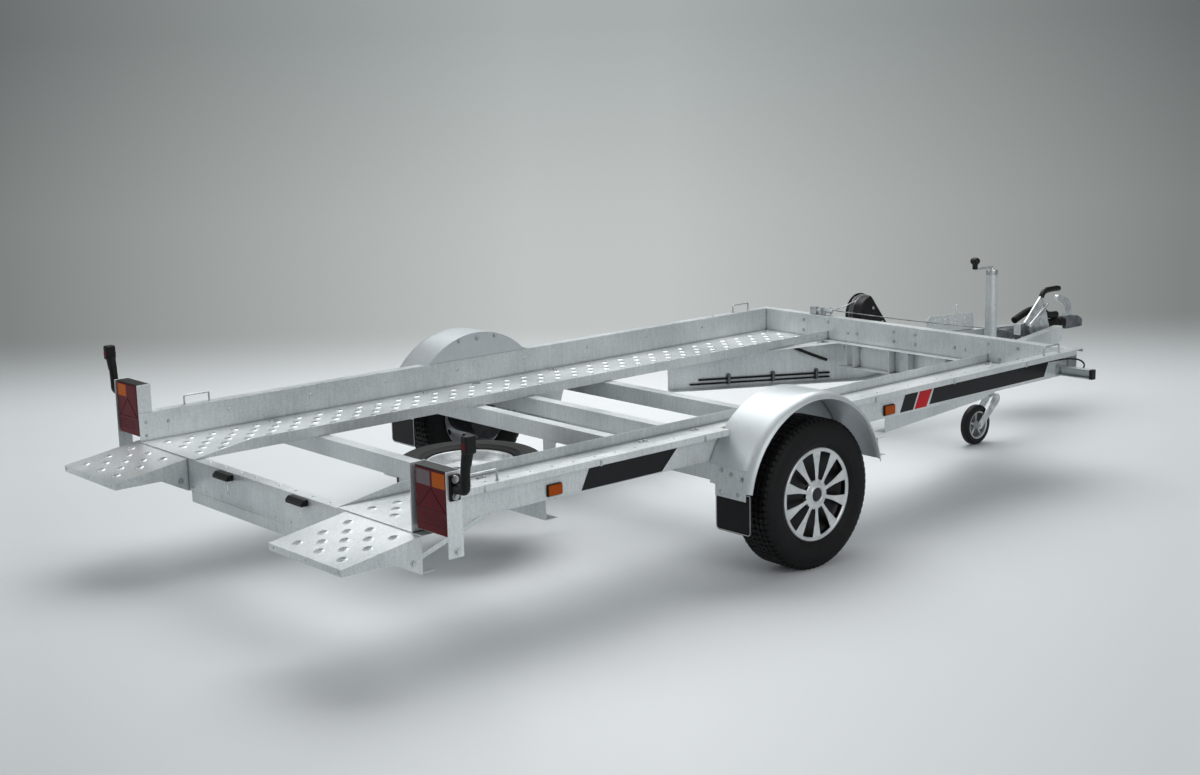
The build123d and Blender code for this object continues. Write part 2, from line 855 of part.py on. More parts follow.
def saddles():
    """Cross plates between the drawbar beams that carry the overrun housing."""
    plates = []
    web = sheet * drawbar_stretch + fit_gap / 2
    for setback in saddle_setbacks:
        rear = drawbar_front - setback
        front = rear + saddle_length
        plan = polygon(
            (rear, drawbar_y(rear) - web), (front, drawbar_y(front) - web),
            (front, web - drawbar_y(front)), (rear, web - drawbar_y(rear)),
        )
        plates.append(extrude(Plane.XY.offset(housing_bottom - saddle_gauge) * plan, saddle_gauge))
    return Compound(plates)


def overrun_housing():
    body = slab(housing_rear, housing_front, -housing_half_width, housing_half_width,
                housing_bottom, housing_top)
    return chamfer(body.edges().filter_by(Axis.X).group_by(Axis.Z)[-1], housing_chamfer)


def gaiter():
    """Rubber bellows over the sliding tube."""
    pitch = gaiter_length / (2 * gaiter_ribs)
    valley = (tube_radius + gaiter_radius) / 2
    folds = [(gaiter_radius if index % 2 else valley, index * pitch) for index in range(2 * gaiter_ribs + 1)]
    sleeve = facet_ring([(tube_radius, 0), *folds, (tube_radius, gaiter_length)], gaiter_sides)
    return Pos(housing_front, 0, tube_z) * Rot(0, 0, -90) * sleeve


def coupling_head():
    """Sliding tube and pressed ball coupling, open below over the ball."""
    tube = rod((housing_front, 0, tube_z), (gaiter_end, 0, tube_z), tube_radius)
    rear_half = head_half_width * head_rear_share
    nose_half = head_half_width * head_nose_share
    plan = polygon(
        (gaiter_end, -rear_half), (ball_x, -head_half_width), (head_front - head_nose_run, -rear_half),
        (head_front, -nose_half), (head_front, nose_half), (head_front - head_nose_run, rear_half),
        (ball_x, head_half_width), (gaiter_end, rear_half),
    )
    shell = extrude(Plane.XY.offset(head_bottom) * plan, head_top - head_bottom)
    slope = polygon(
        (head_front - head_slope_run, head_top), (head_front, head_top - head_nose_drop),
        (head_front + overrun_cut, head_top - head_nose_drop), (head_front + overrun_cut, head_top),
    )
    shell -= side_plate(slope, -head_half_width, head_half_width)
    socket = revolve(
        Plane.XZ * polygon(
            (0, head_bottom), (ball_radius, head_bottom), (ball_radius, ball_z + socket_rise),
            (socket_top_radius, ball_z + ball_radius), (0, ball_z + ball_radius),
        ),
        Axis.Z,
    )
    return tube + shell - Pos(ball_x, 0, 0) * socket


def coupling_handle():
    """Curved lever that opens the coupling."""
    outline = polygon(*[(gaiter_end + ahead, head_top + above) for ahead, above in handle_outline])
    return side_plate(outline, -handle_gauge / 2, handle_gauge / 2)


def handbrake_bar(foot, head, y, radius, sides=rod_sides):
    """Bar beside the housing between two places, each ahead of its rear end and above its bottom."""
    ends = [(housing_rear + ahead, y, housing_bottom + above) for ahead, above in (foot, head)]
    return bar(*ends, radius, (0, 1, 0), sides)


def handbrake_lever():
    """Plate beside the housing with a strut on its outer face."""
    outline = polygon(*[(housing_rear + ahead, housing_bottom + above) for ahead, above in lever_outline])
    outer = -housing_half_width - lever_gauge
    plate = side_plate(outline, outer, -housing_half_width)
    return plate + handbrake_bar(strut_foot, strut_head, outer - strut_radius, strut_radius)


def rubber_sleeve():
    """Black sleeve that arches from behind the lever to the bellows."""
    points = [(housing_rear + ahead, 0, housing_top + above) for ahead, above in sleeve_line]
    return bent_bar(points, sleeve_radius)


def winch():
    """Hand winch: two black cheeks with a cable drum between them."""
    rear = winch_x - winch_radius
    circle = Pos(winch_x, winch_axis_z) * Circle(winch_radius)
    foot = polygon(
        (rear, winch_foot_z), (rear + winch_base_length, winch_foot_z),
        (rear + winch_base_length, winch_foot_z + winch_base_height), (rear, winch_foot_z + winch_base_height),
    )
    cheek = make_hull([*circle.edges(), *foot.edges()])
    half = winch_gap / 2
    body = side_plate(cheek, winch_y + half, winch_y + half + winch_cheek_gauge)
    body += side_plate(cheek, winch_y - half - winch_cheek_gauge, winch_y - half)
    return body + rod((winch_x, winch_y - half, winch_axis_z), (winch_x, winch_y + half, winch_axis_z),
                      winch_drum_radius)


def winch_bracket():
    half = winch_gap / 2 + winch_cheek_gauge
    rear = winch_x - winch_radius
    return slab(rear, rear + winch_base_length, winch_y - half, winch_y + half, drawbar_top(rear), winch_foot_z)


def winch_hook():
    """Small upright plate on the front wall with the cable's end fitting beside it."""
    rear = track_length + hook_plate_lead
    body = slab(rear, rear + hook_plate_gauge, hook_plate_y, hook_plate_y + hook_plate_width,
                wall_top, wall_top + hook_plate_height)
    middle = rear + hook_plate_gauge / 2
    z = wall_top + hook_rise
    return body + bar((middle, hook_plate_y + hook_plate_gauge, z), (middle, hook_plate_y - hook_length, z),
                      hook_radius, (0, 0, 1))


def winch_cable():
    """Taut cable from the hook past the winch to the jockey tube."""
    start = Vector(track_length + hook_plate_lead + hook_plate_gauge / 2, hook_plate_y - hook_length,
                   wall_top + hook_rise)
    cable = bar(start, (jockey_x, jockey_y, cable_end_z), cable_radius, (0, 0, 1))
    tube = rod((jockey_x, jockey_y, jockey_tube_bottom), (jockey_x, jockey_y, jockey_tube_top),
               jockey_tube_radius)
    return cable - winch_hook() - tube


def winch_plate():
    """Upright plate with a rod, on the left drawbar beam's top flange."""
    foot_z = drawbar_top(plate_rear)
    height = plate_top - foot_z
    section = sheet_face([(0, height), (0, 0), (plate_foot_width, 0)], plate_gauge)
    body = extrude(Plane.YZ * section, plate_length * drawbar_stretch)
    corner = polygon(
        (-overrun_cut, height - plate_corner), (plate_corner, height + overrun_cut),
        (-overrun_cut, height + overrun_cut),
    )
    body -= side_plate(corner, -overrun_cut, plate_gauge + overrun_cut)
    rod_y = plate_gauge + plate_rod_radius
    body += bar((plate_rod_place, rod_y, plate_gauge), (plate_rod_place, rod_y, plate_rod_top - foot_z),
                plate_rod_radius, (0, 1, 0))
    web_y = drawbar_y(plate_rear) - drawbar_flange
    return Pos(plate_rear, web_y, foot_z) * Rot(0, 0, -drawbar_angle) * body


def jockey_outer_tube():
    outer = rod((jockey_x, jockey_y, jockey_tube_bottom), (jockey_x, jockey_y, jockey_tube_top),
                jockey_tube_radius)
    return outer - rod((jockey_x, jockey_y, jockey_tube_bottom),
                       (jockey_x, jockey_y, jockey_tube_top - jockey_tube_wall),
                       jockey_tube_radius - jockey_tube_wall)


def jockey_clamp():
    """Clamp block that holds the jockey tube to the web of the right drawbar beam."""
    side = jockey_tube_radius + clamp_margin
    rear = jockey_x - side
    front = jockey_x + side
    web = sheet * drawbar_stretch
    plan = polygon(
        (rear, jockey_y + side), (front, jockey_y + side),
        (front, web - drawbar_y(front)), (rear, web - drawbar_y(rear)),
    )
    block = extrude(Plane.XY.offset(clamp_bottom) * plan, clamp_height)
    return block - rod((jockey_x, jockey_y, clamp_bottom), (jockey_x, jockey_y, clamp_bottom + clamp_height),
                       jockey_tube_radius)


def jockey_crank():
    """Crank on the top cap: a post and a sideways rod."""
    z = crank_z - crank_rod_radius
    post = bar((jockey_x, jockey_y, jockey_tube_top), (jockey_x, jockey_y, crank_z), crank_rod_radius,
               (0, 1, 0))
    return post + bar((jockey_x, jockey_y, z), (jockey_x - crank_reach - crank_rod_radius, jockey_y, z),
                      crank_rod_radius, (0, 0, 1))


def jockey_knob():
    x = jockey_x - crank_reach
    return bar((x, jockey_y, crank_z), (x, jockey_y, knob_top), knob_radius, (0, 1, 0), grip_sides)


def jockey_inner_tube():
    radius = jockey_tube_radius - jockey_tube_wall - jockey_slide_gap
    low = fork_crown_z + fork_crown_gauge + fit_gap
    tube = rod((jockey_x, jockey_y, low), (jockey_x, jockey_y, jockey_inner_top), radius)
    return tube - rod((jockey_x, jockey_y, low), (jockey_x, jockey_y, low + swivel_height),
                      swivel_radius + swivel_gap)


def jockey_fork():
    """Swivel pin, crown and two side plates that trail back to the wheel's axle."""
    half = jockey_wheel_width / 2 + fork_gap
    outer = half + fork_gauge
    top = fork_crown_z + fork_crown_gauge
    crown = slab(jockey_x + fork_head_lead - fork_crown_length, jockey_x + fork_head_lead,
                 jockey_y - outer, jockey_y + outer, fork_crown_z, top)
    body = crown + rod((jockey_x, jockey_y, top), (jockey_x, jockey_y, top + swivel_height - overrun_cut),
                       swivel_radius)
    axle_place = jockey_x - jockey_trail
    head = Pos(jockey_x + fork_head_lead, fork_head_z) * Circle(fork_head_radius)
    foot = Pos(axle_place, jockey_wheel_radius) * Circle(fork_foot_radius)
    face = make_hull([*head.edges(), *foot.edges()])
    body += side_plate(face, jockey_y + half, jockey_y + outer)
    body += side_plate(face, jockey_y - outer, jockey_y - half)
    return body + rod((axle_place, jockey_y - half, jockey_wheel_radius),
                      (axle_place, jockey_y + half, jockey_wheel_radius), jockey_axle_radius)


def jockey_wheel():
    """Solid tyre on a hub that is a little wider."""
    half = jockey_wheel_width / 2
    hub_half = half + fork_gap / 2
    side = [
        (jockey_axle_radius, hub_half), (jockey_wheel_radius * jockey_shoulder_share, half),
        (jockey_wheel_radius, half * jockey_tread_share),
    ]
    ring = facet_ring([*side, *[(radius, -place) for radius, place in reversed(side)]], jockey_sides)
    ring -= rod((0, -hub_half, 0), (0, hub_half, 0), jockey_axle_radius + jockey_axle_gap)
    return Pos(jockey_x - jockey_trail, jockey_y, jockey_wheel_radius) * ring


os.makedirs("parts", exist_ok=True)

save_pair("track", track())
save("rear_beam", rear_beam())
save("rear_skirt", rear_skirt())
for number, place in enumerate(crossbeam_places, start=1):
    save(f"crossbeam_{number}", crossbeam(place))
save("front_wall", front_wall())
save("front_crossbeam", front_crossbeam())
save("drawbar_left", drawbar_beam())
save("drawbar_right", drawbar_right())
save_pair("runup_plate", runup_plate())

at_wheel = Pos(wheel_x, wheel_middle, tyre_radius)
save("axle", axle())
save_pair("tyre", at_wheel * tyre())
save_pair("rim", at_wheel * rim())
save_pair("wheel_cover", at_wheel * wheel_cover())
save_pair("hub", at_wheel * hub())

save("mudguards", both_sides(mudguard()))
save("guard_stays", both_sides(Compound([rear_stay(), front_stay()])))
save("mudflaps", both_sides(mudflap()))

save_pair("lamp_bracket", lamp_bracket())
save("tail_lamps", both_sides(lamp_housing()))
save("tail_lenses", both_sides(lamp_lens()))
save("marker_arms", both_sides(marker_arm()))
save("plate_lamps", plate_lamps())
save("side_markers", side_markers())
save("rope_rings", rope_rings())
save("outriggers", both_sides(outrigger()))
save("outrigger_lamps", both_sides(outrigger_lamp()))

at_spare = Pos(spare_x, 0, spare_seat_z + tyre_width / 2) * Rot(90, 0, 0)
save("spare_tyre", at_spare * tyre())
save("spare_rim", at_spare * rim())
save("spare_carrier", spare_carrier())

grip_y = -housing_half_width - lever_gauge / 2
save("saddles", saddles())
save("overrun_housing", overrun_housing())
save("gaiter", gaiter())
save("coupling_head", coupling_head())
save("coupling_handle", coupling_handle())
save("handbrake_lever", handbrake_lever())
save("handbrake_grip", handbrake_bar(grip_foot, grip_head, grip_y, grip_radius, grip_sides))
save("rubber_sleeve", rubber_sleeve())
save("winch", winch())
save("winch_bracket", winch_bracket())
save("winch_hook", winch_hook())
save("winch_cable", winch_cable())
save("winch_plate", winch_plate())

save("jockey_outer_tube", jockey_outer_tube())
save("jockey_clamp", jockey_clamp())
save("jockey_crank", jockey_crank())
save("jockey_knob", jockey_knob())
save("jockey_inner_tube", jockey_inner_tube())
save("jockey_fork", jockey_fork())
save("jockey_wheel", jockey_wheel())
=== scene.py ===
"""Looks of the open car hauler trailer: finishes, fine pieces on the fixed frame, studio and camera.

Bed places are in millimetres, with x = 0 at the rear edge of the wheel tracks, y to the left and z up.
Every piece ends with its object at the origin and its place in its mesh.
"""
import json
from math import asin, cos, degrees, pi, radians, sin, sqrt

import bpy
from mathutils import Matrix, Vector


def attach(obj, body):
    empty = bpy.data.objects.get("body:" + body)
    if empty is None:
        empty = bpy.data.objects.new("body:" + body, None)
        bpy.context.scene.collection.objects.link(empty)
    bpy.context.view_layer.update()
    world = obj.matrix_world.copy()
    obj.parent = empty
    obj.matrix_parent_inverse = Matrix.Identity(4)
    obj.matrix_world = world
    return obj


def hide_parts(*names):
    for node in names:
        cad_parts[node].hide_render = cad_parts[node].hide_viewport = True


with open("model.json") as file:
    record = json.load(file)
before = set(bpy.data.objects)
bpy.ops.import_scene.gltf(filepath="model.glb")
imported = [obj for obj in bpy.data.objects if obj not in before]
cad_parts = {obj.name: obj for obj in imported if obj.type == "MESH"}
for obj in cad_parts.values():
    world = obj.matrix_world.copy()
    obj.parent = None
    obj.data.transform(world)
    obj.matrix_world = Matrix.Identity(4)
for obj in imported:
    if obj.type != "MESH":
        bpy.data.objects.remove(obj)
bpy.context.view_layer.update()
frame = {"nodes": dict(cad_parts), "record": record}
nodes = frame["nodes"]

MM = 0.001
REAR_EDGE_X = -2.5215

# Sizes of the trailer that the pieces share, in millimetres
OUTER_WALL = 980
INNER_WALL = 977
FLOOR_TOP = 480
WALL_TOP = 600
WHEEL_X = 1793
WHEEL_MIDDLE = 1107.5
TYRE_RADIUS = 305
GUARD_X = 1777.5
GUARD_Z = 312.5
GUARD_RADIUS = 407.5
SPARE_X = 980
SPARE_Z = 324.5
WINCH_X = 3975
WINCH_Y = 420
WINCH_Z = 606
JOCKEY_X = 4090
JOCKEY_Y = -317.093
JOCKEY_AXLE_X = 3975
JOCKEY_AXLE_Z = 103
HOUSING_REAR = 4630
HOUSING_FRONT = 5010
COUPLING_Z = 452
BOTH_SIDES = (1, -1)
LEFT_AND_RIGHT = ((1, "left"), (-1, "right"))


def place(x, y, z):
    """A bed place in the frame's metres."""
    return Vector((REAR_EDGE_X + x * MM, y * MM, z * MM))


# Finishes

def linear(code):
    """An sRGB hex colour as the linear colour that the shaders take."""
    channels = [int(code[start:start + 2], 16) / 255 for start in (1, 3, 5)]
    return tuple(c / 12.92 if c <= 0.04045 else ((c + 0.055) / 1.055) ** 2.4 for c in channels) + (1,)


def add_node(tree, kind, settings=None, links=None):
    """One shader node, with its settings, its colour stops and the sockets that feed it."""
    node = tree.nodes.new(kind)
    for name, value in (settings or {}).items():
        if name == "stops":
            ramp = node.color_ramp.elements
            while len(ramp) < len(value):
                ramp.new(0.5)
            for stop, (where, code) in zip(ramp, value):
                stop.position = where
                stop.color = linear(code)
        elif isinstance(name, int) or name in node.inputs:
            node.inputs[name].default_value = value
        else:
            setattr(node, name, value)
    for name, source in (links or {}).items():
        tree.links.new(source, node.inputs[name])
    return node


def new_finish(name):
    """A material with an empty node tree."""
    material = bpy.data.materials.new(name)
    material.use_nodes = True
    tree = material.node_tree
    tree.nodes.clear()
    return material, tree


def hot_dip_zinc(name, dark, light, spangle_mm, roughness, metallic):
    """Hot-dip galvanised steel: zinc crystals, soft clouds, faint upright runs, and painted shade darkening its
    seams.
    """
    material, tree = new_finish(name)
    where = add_node(tree, "ShaderNodeTexCoord").outputs["Object"]
    crystals = add_node(tree, "ShaderNodeTexVoronoi", {"Scale": 1 / (spangle_mm * MM)}, {"Vector": where})
    crystal_tone = add_node(tree, "ShaderNodeSeparateColor", None, {"Color": crystals.outputs["Color"]})
    clouds = add_node(tree, "ShaderNodeTexNoise", {"Scale": 1 / (400 * MM), "Detail": 3.0}, {"Vector": where})
    upright = add_node(tree, "ShaderNodeMapping", {"Scale": (1.0, 1.0, 0.1)}, {"Vector": where})
    runs = add_node(tree, "ShaderNodeTexNoise", {"Scale": 1 / (11 * MM), "Detail": 5.0, "Roughness": 0.7},
                    {"Vector": upright.outputs[0]})
    grit = add_node(tree, "ShaderNodeTexNoise", {"Scale": 1 / (3 * MM), "Detail": 3.0}, {"Vector": where})
    tone = add_node(tree, "ShaderNodeMath", {"operation": "MULTIPLY", 1: 0.1}, {0: crystal_tone.outputs[0]})
    for source, share in ((clouds, 0.5), (runs, 0.28), (grit, 0.12)):
        tone = add_node(tree, "ShaderNodeMath", {"operation": "MULTIPLY_ADD", 1: share},
                        {0: source.outputs["Fac"], 2: tone.outputs[0]})
    colour = add_node(tree, "ShaderNodeValToRGB", {"stops": [(0.34, dark), (0.62, light)]},
                      {"Fac": tone.outputs[0]})
    # Painted shade: ambient occlusion darkens the colour in seams, folds and corners
    seam_occlusion = add_node(tree, "ShaderNodeAmbientOcclusion", {"samples": 6, "Distance": 16 * MM})
    painted_seam_shade = add_node(tree, "ShaderNodeMapRange", {"From Min": 0.2, "From Max": 0.85, "To Min": 0.2, "To Max": 1.0},
                      {"Value": seam_occlusion.outputs["AO"]})
    colour = add_node(tree, "ShaderNodeVectorMath", {"operation": "MULTIPLY"},
                      {0: colour.outputs[0], 1: painted_seam_shade.outputs[0]})
    gloss = add_node(tree, "ShaderNodeMapRange",
                     {"From Min": 0.35, "From Max": 0.65, "To Min": roughness - 0.08, "To Max": roughness + 0.1},
                     {"Value": tone.outputs[0]})
    bump = add_node(tree, "ShaderNodeBump", {"Strength": 0.03, "Distance": 0.3 * MM},
                    {"Height": tone.outputs[0]})
    shader = add_node(tree, "ShaderNodeBsdfPrincipled", {"Metallic": metallic},
                      {"Base Color": colour.outputs[0], "Roughness": gloss.outputs[0], "Normal": bump.outputs[0]})
    add_node(tree, "ShaderNodeOutputMaterial", None, {"Surface": shader.outputs[0]})
    return material


def worked_metal(name, code, shade, roughness, grain_mm, metallic):
    """Plated, painted or cast metal: an even colour with fine grain and faint stains."""
    material, tree = new_finish(name)
    where = add_node(tree, "ShaderNodeTexCoord").outputs["Object"]
    grain = add_node(tree, "ShaderNodeTexNoise", {"Scale": 1 / (grain_mm * MM), "Detail": 3.0},
                     {"Vector": where})
    stains = add_node(tree, "ShaderNodeTexNoise", {"Scale": 1 / (45 * MM), "Detail": 6.0, "Roughness": 0.65},
                      {"Vector": where})
    colour = add_node(tree, "ShaderNodeValToRGB", {"stops": [(0.36, shade), (0.6, code)]},
                      {"Fac": stains.outputs["Fac"]})
    gloss = add_node(tree, "ShaderNodeMapRange", {"To Min": roughness - 0.06, "To Max": roughness + 0.1},
                     {"Value": stains.outputs["Fac"]})
    bump = add_node(tree, "ShaderNodeBump", {"Strength": 0.1, "Distance": 0.15 * MM},
                    {"Height": grain.outputs["Fac"]})
    shader = add_node(tree, "ShaderNodeBsdfPrincipled", {"Metallic": metallic},
                      {"Base Color": colour.outputs[0], "Roughness": gloss.outputs[0], "Normal": bump.outputs[0]})
    add_node(tree, "ShaderNodeOutputMaterial", None, {"Surface": shader.outputs[0]})
    return material


def moulded(name, code, dusty, roughness, grain_mm, gloss_level):
    """Moulded rubber or plastic: a pebbled skin with a trace of dust in patches."""
    material, tree = new_finish(name)
    where = add_node(tree, "ShaderNodeTexCoord").outputs["Object"]
    grain = add_node(tree, "ShaderNodeTexNoise", {"Scale": 1 / (grain_mm * MM), "Detail": 2.0},
                     {"Vector": where})
    dust = add_node(tree, "ShaderNodeTexNoise", {"Scale": 1 / (60 * MM), "Detail": 6.0, "Roughness": 0.7},
                    {"Vector": where})
    colour = add_node(tree, "ShaderNodeValToRGB", {"stops": [(0.45, code), (0.75, dusty)]},
                      {"Fac": dust.outputs["Fac"]})
    gloss = add_node(tree, "ShaderNodeMapRange", {"To Min": roughness - 0.08, "To Max": roughness + 0.08},
                     {"Value": dust.outputs["Fac"]})
    bump = add_node(tree, "ShaderNodeBump", {"Strength": 0.12, "Distance": 0.15 * MM},
                    {"Height": grain.outputs["Fac"]})
    shader = add_node(tree, "ShaderNodeBsdfPrincipled", {"Specular IOR Level": gloss_level},
                      {"Base Color": colour.outputs[0], "Roughness": gloss.outputs[0], "Normal": bump.outputs[0]})
    add_node(tree, "ShaderNodeOutputMaterial", None, {"Surface": shader.outputs[0]})
    return material


def lamp_lens(name, code, deep, rib_mm):
    """Acrylic with optic ribs moulded into its inner face."""
    material, tree = new_finish(name)
    where = add_node(tree, "ShaderNodeTexCoord").outputs["Object"]
    ribs = add_node(tree, "ShaderNodeTexWave", {"Scale": pi / (10 * rib_mm * MM), "bands_direction": "Y"},
                    {"Vector": where})
    rows = add_node(tree, "ShaderNodeTexWave", {"Scale": pi / (10 * rib_mm * MM), "bands_direction": "Z"},
                    {"Vector": where})
    optics = add_node(tree, "ShaderNodeMath", {"operation": "MULTIPLY"},
                      {0: ribs.outputs["Fac"], 1: rows.outputs["Fac"]})
    colour = add_node(tree, "ShaderNodeValToRGB", {"stops": [(0.1, deep), (0.8, code)]},
                      {"Fac": optics.outputs[0]})
    bump = add_node(tree, "ShaderNodeBump", {"Strength": 0.1, "Distance": 0.2 * MM},
                    {"Height": optics.outputs[0]})
    shader = add_node(tree, "ShaderNodeBsdfPrincipled", {"Roughness": 0.3, "Specular IOR Level": 0.12},
                      {"Base Color": colour.outputs[0], "Normal": bump.outputs[0]})
    add_node(tree, "ShaderNodeOutputMaterial", None, {"Surface": shader.outputs[0]})
    return material


# Each finish: its name, the record's slot that it belongs to, and how it is made
FINISH_TABLE = (
    # Structural steel out of the zinc bath: pale, cool and softly mottled, darkened in its seams by painted shade
    ("galvanised_steel", "galvanised_steel", hot_dip_zinc, "#b2b8ba", "#dde1e2", 5, 0.36, 0.5),
    # Pressed sheet with a thinner, smoother zinc skin: satin, nearly even
    ("zinc_sheet", "zinc_sheet", hot_dip_zinc, "#b9bfc3", "#ccd1d4", 3, 0.4, 0.5),
    # Road tyres: near black and dull, with a trace of dust
    ("tyre_rubber", "tyre_rubber", moulded, "#0b0b0c", "#161617", 0.6, 1.2, 0.2),
    # Sprayed silver lacquer on the steel rims: even and half gloss
    ("rim_paint", "rim_paint", worked_metal, "#d3d7d9", "#bcc0c2", 0.34, 1.5, 0.4),
    # Painted plastic covers: a fine bright silver
    ("cover_silver", "cover_silver", worked_metal, "#cfd2d3", "#bcc0c1", 0.3, 0.6, 0.5),
    # Dark cast iron, and the brake shields, whose near-black also paints the shade behind the wheels: rough and
    # almost without shine
    ("hub_iron", "hub_iron", worked_metal, "#343537", "#222224", 0.6, 2.5, 0.5),
    # Moulded shells and cheeks: black with a low sheen
    ("black_plastic", "black_plastic", moulded, "#0b0b0c", "#131314", 0.4, 0.8, 0.28),
    # Flaps, elbows, bellows and sheaths: black, softer in their sheen than the plastic
    ("black_rubber", "black_rubber", moulded, "#0a0a0b", "#141415", 0.52, 0.8, 0.25),
    # Red acrylic, deep between its fine optic ribs
    ("lens_red", "lens_red", lamp_lens, "#7e081b", "#45030e", 2.5),
    # Edges of the triangle and ribs of the reflector: a duller red
    ("lens_triangle", "lens_red", lamp_lens, "#55222b", "#3a151c", 1.6),
    # Amber acrylic with coarser ribs
    ("lens_amber", "lens_amber", lamp_lens, "#d9760c", "#9c4304", 3.5),
    # Clear acrylic, painted grey for the shade in the hollow lamp behind it
    ("lens_clear", "lens_amber", lamp_lens, "#8d8488", "#5b5155", 3.5),
    # Cast and painted grey of the overrun device
    ("cast_grey", "cast_grey", worked_metal, "#6f7375", "#4c4f51", 0.48, 2.5, 0.5),
    # Bright plated levers, bolts and rings
    ("lever_steel", "lever_steel", worked_metal, "#c9cdce", "#9da1a2", 0.28, 1.2, 0.7),
    # Twisted steel wire, darkened overall as painted shade between its strands
    ("wire_rope", "lever_steel", worked_metal, "#8b8f90", "#55585a", 0.4, 1.5, 0.5),
    # Cut vinyl on the rails, black and red with a pale border: smooth and a little glossy
    ("vinyl_black", "black_plastic", moulded, "#0f1012", "#15161a", 0.32, 0.5, 0.25),
    ("vinyl_red", "lens_red", moulded, "#b20a16", "#bd131f", 0.32, 0.5, 0.25),
    ("vinyl_pale", "rim_paint", moulded, "#c9cccd", "#d6d8d9", 0.4, 0.5, 0.3),
    # Plastic sheath of the breakaway cable: a dull signal orange
    ("cable_orange", "lens_amber", moulded, "#c43a17", "#d04b26", 0.5, 0.8, 0.3),
)
FINISHES = {name: (slot, maker(name, *sizes)) for name, slot, maker, *sizes in FINISH_TABLE}

for part in frame["record"]["subparts"]:
    mesh = nodes[part["node"]].data
    mesh.materials.clear()
    mesh.materials.append(FINISHES[part["material_slot"]][1])


# Modelling steps

def take(*pieces):
    """Only these pieces selected, the first one active."""
    bpy.ops.object.select_all(action="DESELECT")
    for piece in pieces:
        piece.select_set(True)
    bpy.context.view_layer.objects.active = pieces[0]


def settle(piece):
    """The piece's place moved into its mesh."""
    take(piece)
    bpy.ops.object.transform_apply(location=True, rotation=True, scale=True)
    return piece


def edit(piece):
    """Edit mode on a piece, with its whole mesh selected."""
    take(piece)
    bpy.ops.object.mode_set(mode="EDIT")
    bpy.ops.mesh.select_all(action="SELECT")


def close_edit():
    """Doubles merged and faces turned outwards."""
    bpy.ops.mesh.select_all(action="SELECT")
    bpy.ops.mesh.remove_doubles(threshold=0.01 * MM)
    bpy.ops.mesh.normals_make_consistent(inside=False)
    bpy.ops.object.mode_set(mode="OBJECT")


def block(low, high):
    """A cube primitive between two bed corners."""
    low, high = place(*low), place(*high)
    bpy.ops.object.select_all(action="DESELECT")
    bpy.ops.mesh.primitive_cube_add(size=1, location=(low + high) / 2)
    piece = bpy.context.object
    piece.scale = [abs(length) for length in high - low]
    return settle(piece)


def taper(start, end, radius, end_radius, sides=24):
    """A cylinder or cone primitive between two bed places."""
    start, end = place(*start), place(*end)
    run = end - start
    bpy.ops.object.select_all(action="DESELECT")
    bpy.ops.mesh.primitive_cone_add(
        vertices=sides, radius1=radius * MM, radius2=end_radius * MM, depth=run.length,
        location=(start + end) / 2, rotation=run.to_track_quat("Z", "Y").to_euler(),
    )
    return settle(bpy.context.object)


def drawn(points, closed=True):
    """A line of edges, drawn by extruding one vertex from place to place; the mesh stays in edit mode."""
    bpy.ops.object.select_all(action="DESELECT")
    bpy.ops.mesh.primitive_plane_add(size=MM)
    bpy.ops.object.mode_set(mode="EDIT")
    bpy.ops.mesh.merge(type="CENTER")
    bpy.ops.transform.translate(value=points[0])
    line = [*points, points[0]] if closed else points
    for before, after in zip(line, line[1:]):
        bpy.ops.mesh.extrude_region_move(TRANSFORM_OT_translate={"value": after - before})
    bpy.ops.mesh.select_all(action="SELECT")
    bpy.ops.mesh.remove_doubles(threshold=0.001 * MM)
    return bpy.context.object


def plate(outline, depth):
    """A closed outline of bed places, filled and extruded by a depth in millimetres along each axis."""
    piece = drawn([place(*point) for point in outline])
    bpy.ops.mesh.edge_face_add()
    bpy.ops.mesh.extrude_region_move(TRANSFORM_OT_translate={"value": Vector(depth) * MM})
    close_edit()
    return piece


def spun(section, centre, axis, steps, sweep=360, lead=0):
    """A closed section in radius and place along an axis, spun about the axis through a bed place."""
    centre = place(*centre)
    outward = {"X": Vector((0, 0, 1)), "Y": Vector((1, 0, 0)), "Z": Vector((1, 0, 0))}[axis]
    along = {"X": Vector((1, 0, 0)), "Y": Vector((0, 1, 0)), "Z": Vector((0, 0, 1))}[axis]
    turn = Matrix.Rotation(radians(-lead), 4, along)
    piece = drawn([centre + turn @ (outward * radius + along * far) * MM for radius, far in section])
    bpy.ops.mesh.spin(steps=steps, angle=radians(sweep), center=centre, axis=along)
    bpy.ops.mesh.select_all(action="SELECT")
    bpy.ops.mesh.remove_doubles(threshold=0.01 * MM)
    if sweep < 360:
        bpy.ops.mesh.fill_holes(sides=0)
    close_edit()
    return piece


def ring(section, centre, axis, steps, limit=50, side=1):
    """A smooth turned piece; its section is mirrored along the axis for side -1."""
    return smooth(spun([(radius, along * side) for radius, along in section], centre, axis, steps), limit)


def tube(points, radius, sides=12, limit=60):
    """A round rod, hose or cable along a smooth line of bed places, as a closed smooth mesh."""
    curve = bpy.data.curves.new("line", "CURVE")
    curve.dimensions = "3D"
    curve.bevel_depth = radius * MM
    curve.bevel_resolution = sides // 4
    curve.use_fill_caps = True
    spline = curve.splines.new("NURBS")
    spline.points.add(len(points) - 1)
    for knot, point in zip(spline.points, points):
        knot.co = (*place(*point), 1)
    spline.order_u = 3
    spline.use_endpoint_u = True
    spline.resolution_u = 8
    piece = bpy.data.objects.new("line", curve)
    bpy.context.scene.collection.objects.link(piece)
    take(piece)
    bpy.ops.object.convert(target="MESH")
    piece = bpy.context.object
    edit(piece)
    close_edit()
    return smooth(piece, limit)


